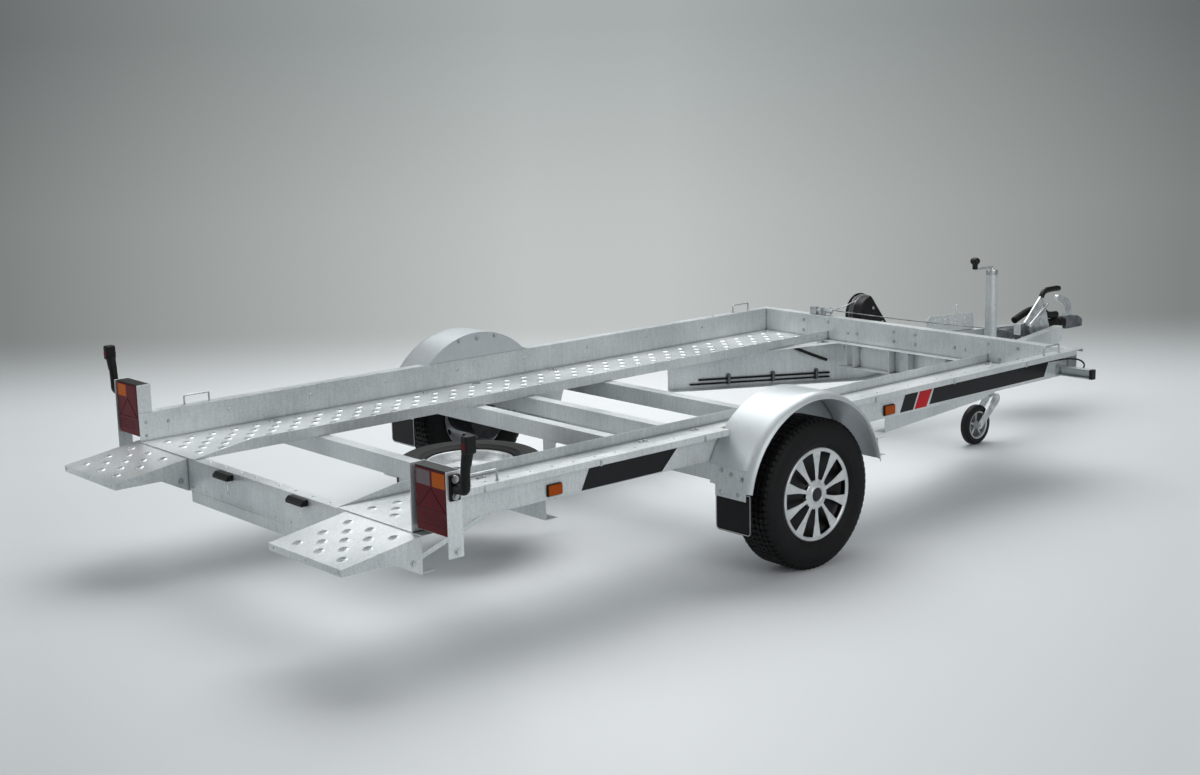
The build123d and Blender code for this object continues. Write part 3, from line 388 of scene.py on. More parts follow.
def copied(node):
    """A copy of a CAD node's mesh, its loose triangles merged to flat faces."""
    piece = bpy.data.objects.new(node, nodes[node].data.copy())
    bpy.context.scene.collection.objects.link(piece)
    edit(piece)
    bpy.ops.mesh.remove_doubles(threshold=0.001 * MM)
    bpy.ops.mesh.dissolve_limited(angle_limit=radians(0.5))
    bpy.ops.object.mode_set(mode="OBJECT")
    return piece


def joined(*pieces):
    """The pieces as one mesh, in the first one's object."""
    if len(pieces) > 1:
        take(*pieces)
        bpy.ops.object.join()
    return pieces[0]


def carve(piece, cutter):
    """The cutter's space taken out of a piece."""
    modifier = piece.modifiers.new("cut", "BOOLEAN")
    modifier.operation = "DIFFERENCE"
    modifier.object = cutter
    take(piece)
    bpy.ops.object.modifier_apply(modifier=modifier.name)
    bpy.data.objects.remove(cutter)
    return piece


def soften(piece, width, segments=2, limit=35):
    """Rounded edges, and smooth shading between what stays sharp."""
    modifier = piece.modifiers.new("edges", "BEVEL")
    modifier.width = width * MM
    modifier.segments = segments
    modifier.limit_method = "ANGLE"
    modifier.angle_limit = radians(limit)
    modifier.use_clamp_overlap = True
    take(piece)
    bpy.ops.object.modifier_apply(modifier=modifier.name)
    return smooth(piece, limit)


def smooth(piece, limit=35):
    """Smooth shading between sharp edges, with the flat faces kept flat."""
    take(piece)
    bpy.ops.object.shade_smooth_by_angle(angle=radians(limit))
    modifier = piece.modifiers.new("flat_faces", "WEIGHTED_NORMAL")
    modifier.keep_sharp = True
    modifier.weight = 100
    bpy.ops.object.modifier_apply(modifier=modifier.name)
    return piece


def row(piece, count, step):
    """A piece repeated along a row by a step in millimetres."""
    modifier = piece.modifiers.new("row", "ARRAY")
    modifier.count = count
    modifier.use_relative_offset = False
    modifier.use_constant_offset = True
    modifier.constant_offset_displace = Vector(step) * MM
    take(piece)
    bpy.ops.object.modifier_apply(modifier=modifier.name)
    return piece


def moved_copy(piece, matrix):
    """A copy of a piece with its own mesh, moved by a matrix."""
    copy = bpy.data.objects.new(piece.name, piece.data.copy())
    bpy.context.scene.collection.objects.link(copy)
    copy.matrix_world = matrix
    return copy


def turned_copies(piece, count, centre, axis):
    """A piece repeated around an axis through a bed place."""
    centre = place(*centre)
    copies = [piece]
    for index in range(1, count):
        turn = Matrix.Rotation(2 * pi * index / count, 4, axis)
        copies.append(settle(moved_copy(piece, Matrix.Translation(centre) @ turn @ Matrix.Translation(-centre))))
    return joined(*copies)


def spread(pattern, spots):
    """Copies of a small piece modelled at the origin: each spot has a bed place, a facing and a scale."""
    copies = []
    for where, facing, scale in spots:
        turn = Vector(facing).to_track_quat("Z", "Y").to_matrix().to_4x4()
        matrix = Matrix.Translation(place(*where)) @ turn @ Matrix.Scale(scale, 4)
        copies.append(moved_copy(pattern, matrix))
    take(*copies)
    bpy.ops.object.transform_apply(location=True, rotation=True, scale=True)
    return joined(*copies)


def finish(piece, name, finish_name, body="chassis", replaces=()):
    """The piece's name, material and body; the CAD nodes that it stands for are hidden."""
    slot, material = FINISHES[finish_name]
    piece.name = name
    piece.data.name = name
    piece.data.materials.clear()
    piece.data.materials.append(material)
    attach(piece, body)
    if replaces:
        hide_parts(*replaces)
    return piece


def at_origin(pattern):
    """A small pattern piece brought from the bed's origin to the frame's origin."""
    pattern.matrix_world = Matrix.Translation(-place(0, 0, 0))
    return settle(pattern)


# Wheel tracks: the CAD sheet with its floor punched and a raised collar round each hole

COLLAR_STEPS = 20
ROW_PITCH = 106
ROW_COUNT = 35
HOLE_RADIUS = 14
FLOOR_ROWS = ((80, 626), (80, 764), (80, 900), (133, 697), (133, 828))
# First place, number and y of the small drain holes along the rail's flange, behind and ahead of the guard
FLANGE_HOLES = ((106, 12), (2290, 15))
FLANGE_HOLE_Y = 990
FLANGE_PITCH = 100
CLIP_PLACES = (270, 800, 1330, 2330, 2860, 3390)


def collar():
    """The flared lip that the punch raises round a floor hole."""
    section = [(13.2, -5), (13.2, 2.6), (14.4, 3.8), (16, 3.2), (18, 1), (20, 0.1), (20, -0.6), (14.2, -5)]
    return smooth(at_origin(spun(section, (0, 0, 0), "Z", COLLAR_STEPS)), 60)


def upright_drill(x, y, top, radius, sides):
    """A short cutter through a level sheet whose upper face is at top."""
    return taper((x, y, top - 8), (x, y, top + 4), radius, radius, sides)


def tracks():
    """The CAD tracks with punched floors, drain holes in the flanges, and clips under the rail edges."""
    lip = collar()
    for side, suffix in LEFT_AND_RIGHT:
        name = f"track_{suffix}"
        piece = soften(copied(name), 1.2)
        drills = [
            row(upright_drill(x, side * y, FLOOR_TOP, HOLE_RADIUS, COLLAR_STEPS), ROW_COUNT, (ROW_PITCH, 0, 0))
            for x, y in FLOOR_ROWS
        ]
        carve(piece, joined(*drills))
        for first, count in FLANGE_HOLES:
            drill = upright_drill(first, side * FLANGE_HOLE_Y, WALL_TOP, 5, 12)
            carve(piece, row(drill, count, (FLANGE_PITCH, 0, 0)))
        spots = [
            ((x + ROW_PITCH * index, side * y, FLOOR_TOP), (0, 0, 1), 1)
            for x, y in FLOOR_ROWS for index in range(ROW_COUNT)
        ]
        finish(smooth(joined(piece, spread(lip, spots))), f"punched_{name}", "galvanised_steel",
               replaces=[name])
        clips = [block((x, side * 1027, 572), (x + 9, side * 1032.5, 592)) for x in CLIP_PLACES]
        finish(soften(joined(*clips), 1), f"edge_clips_{name}", "lever_steel")
    bpy.data.objects.remove(lip)


RUNUP_LENGTH = 317
RUNUP_DROP = 48
RUNUP_TOP = 475
# Distance behind the tracks and the y places of each row of holes, from the plate's inner edge
RUNUP_ROWS = (
    (262, (100, 235, 375)), (210, (172, 302)), (160, (100, 235, 375)), (109, (172, 302)), (57, (100, 235, 375)),
)
RUNUP_INNER_EDGE = 578
RUNUP_LIP_HOLES = (610, 813, 1016)


def runup_plates():
    """The sloping plates: holes drilled and collared square to the slope, and three holes in the lip."""
    lip = collar()
    slope = Vector((-RUNUP_DROP, 0, RUNUP_LENGTH)).normalized()
    for side, suffix in LEFT_AND_RIGHT:
        name = f"runup_plate_{suffix}"
        piece = copied(name)
        spots, drills = [], []
        for back, places in RUNUP_ROWS:
            z = RUNUP_TOP - back * RUNUP_DROP / RUNUP_LENGTH
            for from_edge in places:
                y = side * (RUNUP_INNER_EDGE + from_edge)
                spots.append(((-back, y, z), slope, 1))
                drills.append(taper((-back + 1.5, y, z - 10), (-back - 1.5, y, z + 10), 14.4, 14.4, COLLAR_STEPS))
        for y in RUNUP_LIP_HOLES:
            drills.append(taper((-330, side * y, 416), (-300, side * y, 416), 5, 5, 16))
        carve(piece, joined(*drills))
        piece = joined(soften(piece, 1), spread(lip, spots))
        finish(smooth(piece), f"punched_{name}", "galvanised_steel", replaces=[name])
    bpy.data.objects.remove(lip)


# Wheels: tyre with tread blocks, pressed steel rim and a spoked cover

TYRE_SECTION = (
    (179, 60), (181, 68), (186, 74), (193, 78.5), (198, 80), (203, 84), (209, 88.5), (215, 89.5), (217, 88.6),
    (223, 90.4), (240, 92.3), (254, 92.4), (268, 90.8), (270, 89.4), (272, 90.2), (280, 86.6), (287, 82),
    (292, 77.5), (296, 71), (298, 62),
)
TREAD_PITCHES = 72
# Place across the tread, width and slant in degrees of one pitch's blocks
TREAD_BLOCKS = ((-58, 19, 14), (-34, 21, -18), (-9, 22, 16), (16, 22, -16), (39, 18, 18), (60, 17, -12))


def tyre_mesh(centre):
    """Carcass with ringed side walls, six rows of slanted tread blocks and shoulder lugs."""
    section = [*TYRE_SECTION, *[(radius, -along) for radius, along in reversed(TYRE_SECTION)]]
    carcass = ring(section, centre, "Y", 96)
    x, y, z = centre
    blocks = []
    for across, width, slant in TREAD_BLOCKS:
        lug = block((x - 11.4, y + across - width / 2, z + 295), (x + 11.4, y + across + width / 2, z + 304.9))
        edit(lug)
        bpy.ops.transform.rotate(value=radians(slant), orient_axis="Z",
                                 center_override=place(x, y + across, z + 300))
        bpy.ops.object.mode_set(mode="OBJECT")
        blocks.append(lug)
    for edge in BOTH_SIDES:
        lug = block((x - 9, y + edge * 70 - 6, z + 284), (x + 9, y + edge * 70 + 6, z + 302))
        edit(lug)
        bpy.ops.transform.rotate(value=radians(-edge * 38), orient_axis="X",
                                 center_override=place(x, y + edge * 74, z + 296))
        bpy.ops.object.mode_set(mode="OBJECT")
        blocks.append(lug)
    tread = turned_copies(soften(joined(*blocks), 1.2, 1), TREAD_PITCHES, centre, "Y")
    return joined(carcass, tread)


def rim_mesh(centre, side):
    """Drop-centre rim with a dished disc, eight hand holes and a hub bore."""
    half = 74
    outer = [(196, -half), (196, -half + 3), (190, -half + 6), (181, -half + 10), (178, -half + 16),
             (176, -40), (166, -32), (158, -14), (158, 10), (166, 28), (176, 36), (178, half - 16),
             (181, half - 10), (190, half - 6), (196, half - 3), (196, half)]
    inner = [(192, half), (187, half - 2.4), (178, half - 7), (174, half - 15), (172, 38), (162, 30), (154, 12),
             (154, -15), (162, -34), (172, -42), (174, -half + 15), (178, -half + 7), (187, -half + 2.4),
             (192, -half)]
    barrel = ring(outer + inner, centre, "Y", 96, side=side)
    disc = [(156, 14), (140, 26), (118, 38), (96, 40), (78, 33), (40, 32), (33.5, 36), (33.5, 31), (40, 27),
            (78, 28), (96, 34), (118, 33), (138, 21), (156, 8)]
    disc = ring(disc, centre, "Y", 72, side=side)
    x, y, z = centre
    vent = taper((x, y - 80, z + 128), (x, y + 80, z + 128), 15, 15, 20)
    carve(disc, turned_copies(vent, 8, centre, "Y"))
    return joined(barrel, smooth(disc, 50))


def wheel_bolts(centre, side):
    """Five hexagon bolts round the hub bore."""
    x, y, z = centre
    bolt = stud((x, y + side * 33, z + 50), (x, y + side * 47, z + 50), 9.5)
    return turned_copies(bolt, 5, centre, "Y")


COVER_FACE = 74


def cover_mesh(centre, side):
    """Ten flared spokes, a thin outer ring and a ringed hub, standing on the rim's face."""
    x, y, z = centre
    face = (x, y + side * COVER_FACE, z)
    rim_ring = [(172, 0.4), (172, 2), (176, 5.5), (181, 7), (186, 6.4), (188.5, 3), (188.5, 0.4)]
    rim_ring = ring(rim_ring, face, "Y", 96, side=side)
    hub = [(0, 0.4), (0, 3), (27, 3), (28, 5.5), (30, 8.4), (34, 9.6), (38, 8.4), (41, 5.6), (50, 4.4),
           (58, 2.4), (60, 0.4)]
    hub = ring(hub, face, "Y", 64, 40, side)
    edge = [(44, 9), (70, 7.5), (110, 11), (150, 18.5), (176, 24)]
    outline = [(r, w) for r, w in edge] + [(r, -w) for r, w in reversed(edge)]
    spoke = plate([(x + w, face[1] + side * 0.5, z + r) for r, w in outline], (0, side * 4.4, 0))
    return joined(rim_ring, hub, turned_copies(soften(spoke, 2.2, 3), 10, centre, "Y"))


def wheels():
    """Both road wheels, the brake shields behind them, dark to paint the shade on the wheels' inner sides, and the
    spare that is a copy laid flat.
    """
    for side, suffix in LEFT_AND_RIGHT:
        body = f"wheel_{suffix}"
        centre = (WHEEL_X, side * WHEEL_MIDDLE, TYRE_RADIUS)
        finish(tyre_mesh(centre), f"tyre_with_tread_{suffix}", "tyre_rubber", body, [f"tyre_{suffix}"])
        finish(rim_mesh(centre, side), f"steel_rim_{suffix}", "rim_paint", body, [f"rim_{suffix}"])
        finish(wheel_bolts(centre, side), f"wheel_bolts_{suffix}", "lever_steel", body)
        finish(cover_mesh(centre, side), f"spoked_cover_{suffix}", "cover_silver", body,
               [f"wheel_cover_{suffix}"])
        dish = [(60, 62), (100, 44), (150, 42), (171, 55), (173, 73), (175, 73), (174, 53), (152, 39), (100, 41),
                (60, 59)]
        finish(ring(dish, centre, "Y", 72, side=side), f"cover_pockets_{suffix}", "black_plastic", body)
        cap = [(0, 77.2), (0, 81), (12, 80.6), (24, 79.2), (27.5, 77.2)]
        finish(ring(cap, centre, "Y", 40, side=side), f"cover_cap_{suffix}", "hub_iron", body)
        # The brake shield's near-black also paints the shade on the inner side of the wheel
        shield = [(34, 930.8), (34, 934.8), (103, 934.8), (106, 933), (103, 930.8)]
        shield = ring(shield, (WHEEL_X, 0, TYRE_RADIUS), "Y", 56, 40, side)
        finish(shield, f"brake_shield_{suffix}", "hub_iron")
    lay_flat = (Matrix.Translation(place(SPARE_X, 0, SPARE_Z)) @ Matrix.Rotation(radians(90), 4, "X")
                @ Matrix.Translation(-place(WHEEL_X, WHEEL_MIDDLE, TYRE_RADIUS)))
    for kept, name, finish_name, node in (
        ("tyre_with_tread_left", "spare_tyre_with_tread", "tyre_rubber", "spare_tyre"),
        ("steel_rim_left", "spare_steel_rim", "rim_paint", "spare_rim"),
    ):
        finish(settle(moved_copy(bpy.data.objects[kept], lay_flat)), name, finish_name, replaces=[node])


# Mudguards and mudflaps

GUARD_LOWER_EDGE = 385
CHEEK_LOWER_EDGE = 540
CHEEK_STEPS = 40
FLAP_LOW, FLAP_HIGH = 1008, 1197
FLAP_BOTTOM, FLAP_TOP = 210, 375
FLAP_CORNER = 16


def mudguards():
    """Drawn arches with a rolled shoulder and a turned-in edge, and an inner cheek plate."""
    lead = degrees(asin((GUARD_LOWER_EDGE - GUARD_Z) / GUARD_RADIUS))
    skin = [(407.5, 980.2), (407.5, 1158), (406.4, 1174), (403, 1187), (397, 1197.5), (389, 1205), (382, 1208.6),
            (381.4, 1209.8), (379.6, 1209.8), (380, 1207), (388, 1203), (395.4, 1196), (401, 1186.4), (404.4, 1174),
            (405.5, 1158), (405.5, 980.2)]
    arches = []
    for side in BOTH_SIDES:
        section = [(radius, side * y) for radius, y in skin]
        arch = spun(section, (GUARD_X, 0, GUARD_Z), "Y", 56, 180 - 2 * lead, lead)
        stay_space = block((1370, side * 975, 380), (1404.2, side * 1176, 468.6))
        arches.append(smooth(carve(arch, stay_space), 40))
        low = asin((CHEEK_LOWER_EDGE - GUARD_Z) / GUARD_RADIUS)
        arc = [low + (pi - 2 * low) * index / CHEEK_STEPS for index in range(CHEEK_STEPS + 1)]
        inner = GUARD_RADIUS - 2.2
        outline = [(GUARD_X + inner * cos(a), side * 980.2, GUARD_Z + inner * sin(a)) for a in arc]
        arches.append(plate(outline, (0, side * 2.6, 0)))
    finish(joined(*arches), "drawn_mudguards", "zinc_sheet", replaces=["mudguards"])


def flap_outline(side, rear, margin):
    """A flap's outline at its rear face, drawn in by a margin, its lower corners cut round."""
    left, right, foot = FLAP_LOW + margin, FLAP_HIGH - margin, FLAP_BOTTOM + margin
    corner = FLAP_CORNER - margin
    line = [
        (left, FLAP_TOP - margin), (left, foot + corner), (left + corner * 0.3, foot + corner * 0.3),
        (left + corner, foot), (right - corner, foot), (right - corner * 0.3, foot + corner * 0.3),
        (right, foot + corner), (right, FLAP_TOP - margin),
    ]
    return [(rear, side * y, z) for y, z in line]


def mudflaps():
    """Rubber flaps with rounded lower corners, and a pale moulded edge line."""
    flaps, lines = [], []
    rear = GUARD_X - sqrt(405.5 ** 2 - (469 - GUARD_Z) ** 2) + 3.3
    for side in BOTH_SIDES:
        flaps.append(soften(plate(flap_outline(side, rear, 0.2), (3.8, 0, 0)), 1))
        line = plate(flap_outline(side, rear - 0.5, 3), (1.2, 0, 0))
        lines.append(carve(line, plate(flap_outline(side, rear - 3, 5.5), (6, 0, 0))))
    finish(joined(*flaps), "rubber_mudflaps", "black_rubber", replaces=["mudflaps"])
    finish(joined(*lines), "mudflap_edge_lines", "vinyl_pale")


# Rear lamps, markers and reflectors

def tail_lamps():
    """Lamp shells with red, amber and clear fields, a raised triangle and four ribs on the reflector."""
    reds, ambers, clears, triangles, shells = [], [], [], [], []
    for side in BOTH_SIDES:
        shells.append(soften(block((16, side * 1000.2, 493.2), (59.8, side * 1175.8, 718.8)), 2))
        shells.append(soften(block((8, side * 1001, 714), (59, side * 1175, 718.9)), 1))
        reds.append(soften(block((7.2, side * 1003, 497), (18, side * 1173, 713)), 3, 3))
        ambers.append(soften(block((6.4, side * 1096, 656), (12, side * 1168, 708)), 2, 2))
        if side < 0:
            clears.append(soften(block((6.4, side * 1008, 656), (12, side * 1086, 708)), 2, 2))
        else:
            ambers.append(soften(block((6.4, side * 1168, 660), (12, side * 1171.6, 706)), 1))
        corners = [(7, side * 1010, 574), (7, side * 1087, 650), (7, side * 1166, 574)]
        for start, end in zip(corners, corners[1:] + corners[:1]):
            triangles.append(taper(start, end, 1.6, 1.6, 8))
        for z in (556, 545, 534, 523):
            triangles.append(taper((7, side * 1040, z), (7, side * 1164, z), 1.3, 1.3, 8))
    finish(joined(*shells), "tail_lamp_shells", "black_plastic", replaces=["tail_lamps"])
    finish(joined(*reds), "tail_lens_red", "lens_red", replaces=["tail_lenses"])
    finish(joined(*ambers), "tail_lens_amber", "lens_amber")
    finish(joined(*clears), "tail_lens_clear", "lens_clear")
    finish(joined(*triangles), "tail_reflector_triangles", "lens_triangle")


def marker_arms():
    """Rubber elbows from a bolted foot, each with a lamp head that looks both ways."""
    arms, reds, clears, screws = [], [], [], []
    x = 31.5
    for side in BOTH_SIDES:
        arms.append(soften(block((10, side * 1185.2, 621), (53, side * 1194, 709)), 4, 3))
        line = [(x, side * 1190, 663), (x, side * 1225, 663), (x, side * 1247, 664), (x, side * 1248, 690),
                (x, side * 1249, 720), (x, side * 1255, 756)]
        arms.append(tube(line, 16.8, 20, 50))
        arms.append(smooth(taper((x, side * 1255, 750), (x, side * 1268, 800), 18, 20, 20), 40))
        arms.append(soften(block((x - 22, side * 1257, 792), (x + 22, side * 1289.6, 852.6)), 7, 4))
        for facing, group in ((-1, reds), (1, clears)):
            lens = taper((x + facing * 20.6, side * 1273, 818), (x + facing * 23, side * 1273, 818), 13.5, 12, 24)
            group.append(soften(lens, 0.8))
        for z in (637, 694):
            screws.append(((x, side * 1194, z), (0, side, 0), 1))
    finish(joined(*arms), "marker_elbows", "black_rubber", replaces=["marker_arms"])
    finish(joined(*reds), "marker_lens_red", "lens_red")
    finish(joined(*clears), "marker_lens_clear", "lens_clear")
    return screws


def side_markers():
    """Amber lamps in black frames on the outer walls."""
    frames, lenses = [], []
    for side in BOTH_SIDES:
        for x in (586, 2442):
            frames.append(soften(block((x, side * (OUTER_WALL + 0.2), 489), (x + 67, side * 988, 533)), 2, 2))
            lenses.append(soften(block((x + 4, side * 984, 492), (x + 66, side * 993.6, 530)), 3, 3))
    finish(joined(*frames), "side_marker_frames", "black_plastic", replaces=["side_markers"])
    finish(joined(*lenses), "side_marker_lenses", "lens_amber")


def plate_lamps():
    """Number-plate lamps over the rear beam, each with a window that looks down."""
    windows = [soften(block((-24, side * 232, 445.6), (-8, side * 308, 448)), 0.8) for side in BOTH_SIDES]
    finish(soften(copied("plate_lamps"), 2.4, 3), "plate_lamp_shells", "black_plastic", replaces=["plate_lamps"])
    finish(joined(*windows), "plate_lamp_windows", "lens_clear")


# Finish, lower and upper ends along the rail, and lower and upper edge of each stripe
STRIPES = (
    ("vinyl_black", (749, 1150), (788, 1231), 480.5, 558),
    ("vinyl_black", (2553, 2641), (2590, 2678), 485, 563),
    ("vinyl_red", (2651, 2733), (2689, 2775), 485, 563),
    ("vinyl_black", (2753, 3604), (2787, 3642), 491, 565),
)
STRIPE_BORDER = 3.5


def decals():
    """Cut vinyl parallelograms on the outer walls, left bare, with thin pale borders."""
    groups = {"vinyl_black": [], "vinyl_red": [], "vinyl_pale": []}
    wall = OUTER_WALL + 0.05
    for side in BOTH_SIDES:
        for finish_name, (low_rear, low_front), (top_rear, top_front), low, top in STRIPES:
            outline = [(low_rear, low), (low_front, low), (top_front, top), (top_rear, top)]
            groups[finish_name].append(plate([(x, side * wall, z) for x, z in outline], (0, side * 0.7, 0)))
            near, far = STRIPE_BORDER * 0.6, STRIPE_BORDER
            foot = max(low - far, FLOOR_TOP - 2)
            wide = [(low_rear - far, foot), (low_front + near, foot), (top_front + far, top + far),
                    (top_rear - near, top + far)]
            groups["vinyl_pale"].append(plate([(x, side * wall, z) for x, z in wide], (0, side * 0.35, 0)))
    for finish_name, pieces in groups.items():
        finish(joined(*pieces), f"rail_stripes_{finish_name}", finish_name)


# Rails, beams and their fasteners

def rope_rings():
    """Bent rod loops with round corners, welded on the rails."""
    loops = []
    for side in BOTH_SIDES:
        for x in (227, 3558):
            y = side * 1008
            end = x + 118
            line = [(x, 598), (x, 622), (x, 640), (x + 14, 640), (x + 59, 640), (end - 14, 640),
                    (end, 640), (end, 622), (end, 598)]
            loops.append(tube([(along, y, z) for along, z in line], 4, 12, 50))
            for foot in (x, end):
                loops.append(smooth(taper((foot, y, 599.5), (foot, y, 605), 8, 4.5, 16), 50))
    finish(joined(*loops), "bent_rope_rings", "lever_steel", replaces=["rope_rings"])


FOLDED_NODES = (
    "crossbeam_1", "crossbeam_2", "crossbeam_3", "crossbeam_4", "front_wall", "front_crossbeam", "drawbar_left",
    "drawbar_right", "rear_skirt", "guard_stays", "saddles", "lamp_bracket_left", "lamp_bracket_right",
    "winch_bracket", "outriggers", "rear_beam",
)
PLATE_HOLES = ((414, 5), (408, 5), (402, 5), (388, 3))


def folded_beams():
    """The folded sheet beams, their folds rounded; the rear beam has a slot and a hole under each plate lamp."""
    for name in FOLDED_NODES:
        beam = soften(copied(name), 1.1)
        if name == "rear_beam":
            for side in BOTH_SIDES:
                for z, radius in PLATE_HOLES:
                    carve(beam, taper((-6, side * 268, z), (9, side * 268, z), radius, radius, 16))
        finish(beam, f"folded_{name}", "galvanised_steel", replaces=[name])


def stud(start, end, radius, sides=6, width=1):
    """A bolt head, pin or boss with softened rims."""
    return soften(taper(start, end, radius, radius, sides), width)


def bolt_head():
    """Hexagon head on a washer, at the origin, facing up."""
    washer = taper((0, 0, 0), (0, 0, 1.8), 14, 13.4, 20)
    head = soften(taper((0, 0, 1.8), (0, 0, 9), 10, 9.4, 6), 1)
    return at_origin(joined(washer, head))


def rivet_head():
    """Low domed rivet, at the origin, facing up."""
    section = [(0, 4), (3, 3.7), (6, 2.6), (7.6, 1), (8, 0), (0, 0)]
    return at_origin(ring(section, (0, 0, 0), "Z", 14, 60))


UP, REARWARD = (0, 0, 1), (-1, 0, 0)
# One side's bolts and rivets: facing, scale and places
SIDE_BOLTS = (
    ("inward", 0.55, [(30, INNER_WALL, 560), (28, INNER_WALL, 503), (131, INNER_WALL, 550)]),
    ("inward", 0.7, [(x, INNER_WALL + 0.5, 690) for x in (1669, 1777, 1884)]),
    (UP, 0.8, [(x + ahead, y, FLOOR_TOP) for x in (585, 1412, 1705, 2182, 3720) for ahead in (15, 40)
               for y in (940, 560)]),
    (REARWARD, 0.8, [(1403.7, 1044, 452), (1403.7, 1096, 440), (1403.7, 1155, 430)]),
    ("outward", 0.9, [(36, 1185, 447), (-34, 1030, 388)]),
    ("inward", 0.9, [(-34, 578, 388)]),
    (REARWARD, 0.55, [(3787, y, z) for y, z in ((698, 567), (524, 570), (698, 510), (384, 524), (319, 528),
                                                (70, 565), (70, 516), (593, 500))]),
)
SIDE_RIVETS = (
    ("inward", 1, [(x, INNER_WALL, 556) for x in range(420, 3700, 410)]),
    (REARWARD, 1.2, [(1403.7, 1040, 366), (1403.7, 1130, 366)]),
    (REARWARD, 0.7, [(-0.1, y, 362) for y in (90, 200, 320, 440, 540)]),
    (UP, 0.9, [(28, y, 477.2) for y in (90, 200, 320, 440, 540)]),
    ("inward", 0.9, [(3408, 520.5, 501), (3531, 520.5, 501)]),
    ("inward", 0.7, [(x, 521, 505) for x in (3600, 3650, 3700, 3750)]),
    (REARWARD, 1.3, [(3786, y, z) for y, z in ((495, 458), (495, 372), (400, 450), (300, 380), (300, 450))]),
    (UP, 0.9, [(x, 1005, WALL_TOP) for x in (2900, 3150, 3400)]),
    ("outward", 0.9, [(x, OUTER_WALL, 588) for x in (560, 610, 2420, 2520)]),
)


def fasteners(marker_screws):
    """Bolts and rivets where the photograph shows them, the same on both sides."""
    for pattern, table, spots, name in ((bolt_head(), SIDE_BOLTS, list(marker_screws), "hexagon_bolts"),
                                        (rivet_head(), SIDE_RIVETS, [], "rivets")):
        for side in BOTH_SIDES:
            facings = {"inward": (0, -side, 0), "outward": (0, side, 0)}
            for facing, scale, places in table:
                spots += [((x, side * y, z), facings.get(facing, facing), scale) for x, y, z in places]
        finish(smooth(spread(pattern, spots)), name, "lever_steel")
        bpy.data.objects.remove(pattern)


def beam_y(x):
    """Outer face of the left drawbar beam at one place along the trailer."""
    return 450 - 0.27 * (x - 3750)


def beam_bottom(x):
    """Lower edge of the drawbar beams, which rise towards the rear."""
    return 318 - (x - 2780) * 0.0548


def drawbar_cables():
    """Brake cable and lamp cable clipped low on the left beam's web, and the dark strut at its corner."""
    cables = []
    for low, radius, start in ((48, 5, 2950), (26, 4.5, 2900)):
        line = [(x, beam_y(x) - 4.4 - radius, beam_bottom(x) + low) for x in (start, start + 260, start + 520, 3720)]
        cables.append(tube(line, radius, 12))
    clips = []
    for x in (3120, 3380, 3640):
        y, bottom = beam_y(x) - 3.2, beam_bottom(x)
        clips.append(soften(block((x - 9, y - 13, bottom + 18), (x + 9, y + 1, bottom + 72)), 3))
    strut = tube([(3500, 490, 470), (3600, 464, 424), (3690, 442, 388)], 8, 16)
    finish(joined(strut, *cables), "clipped_cables_and_strut", "black_rubber")
    finish(joined(*clips), "cable_clips", "cast_grey")
    loop = tube([(3640, -983, 560), (3700, -1010, 566), (3790, -1040, 560), (3822, -1060, 530), (3760, -1080, 512),
                 (3735, -1090, 510)], 4, 12)
    finish(loop, "outrigger_lamp_cable", "black_rubber")
    plates = [block((3395, side * 519.6, 486), (3545, side * 522.6, 516)) for side in BOTH_SIDES]
    finish(soften(joined(*plates), 1), "lip_joint_plates", "galvanised_steel")


# Winch, its hook, and the plate with the rod

def winch():
    """A grooved disc, a wound drum between bright flanges, and a solid cheek cut on a slant in front."""
    centre = (WINCH_X, WINCH_Y, WINCH_Z)
    disc = [(0, 33), (0, 55), (70, 55), (74, 52), (98, 52), (106, 48), (107, 42), (100, 37), (86, 36), (84, 33)]
    disc = ring(disc, centre, "Y", 64, 40)
    arc = [(WINCH_X - 4 + 103 * cos(radians(a)), WINCH_Z + 103 * sin(radians(a))) for a in range(95, 215, 8)]
    outline = [(4094, 500), (4094, 548), *arc, (3884, 490), (3892, 484.4), (4084, 484.4)]
    cheek = soften(plate([(x, WINCH_Y - 54.6, z) for x, z in outline], (0, 46, 0)), 7, 4)
    inner = [(x * 0.94 + WINCH_X * 0.06, z * 0.94 + (WINCH_Z - 10) * 0.06) for x, z in outline]
    band = soften(plate([(x, WINCH_Y - 9, z) for x, z in inner], (0, 14, 0)), 3)
    foot = soften(block((3868, 368, 484.2), (4096, 472, 492)), 2)
    finish(joined(disc, cheek, band, foot), "winch_cheeks", "black_plastic", replaces=["winch"])
    turns = [(40, 8)]
    for index in range(3):
        start = 8 + index * 7.5
        turns += [(74, start), (78, start + 2.2), (78, start + 5.3), (74, start + 7.5)]
    turns.append((40, 30.5))
    finish(ring(turns, centre, "Y", 48, 60), "wound_cable", "wire_rope")
    bright = []
    for near, far in ((5.2, 8), (30.8, 33.2)):
        flange = [(30, near), (30, far), (99, far), (101, far - 0.6), (101, near + 0.6), (99, near)]
        bright.append(ring(flange, centre, "Y", 56, 40))
    for x, z in ((4052, 556), (3905, 556), (WINCH_X, 640)):
        bright.append(soften(taper((x, 365.6, z), (x, 361, z), 9, 8, 16), 1))
    finish(joined(*bright), "winch_flanges_and_bolts", "lever_steel")


PLATE_DRILL_X = (4345, 4377, 4409, 4441, 4473, 4537, 4569)


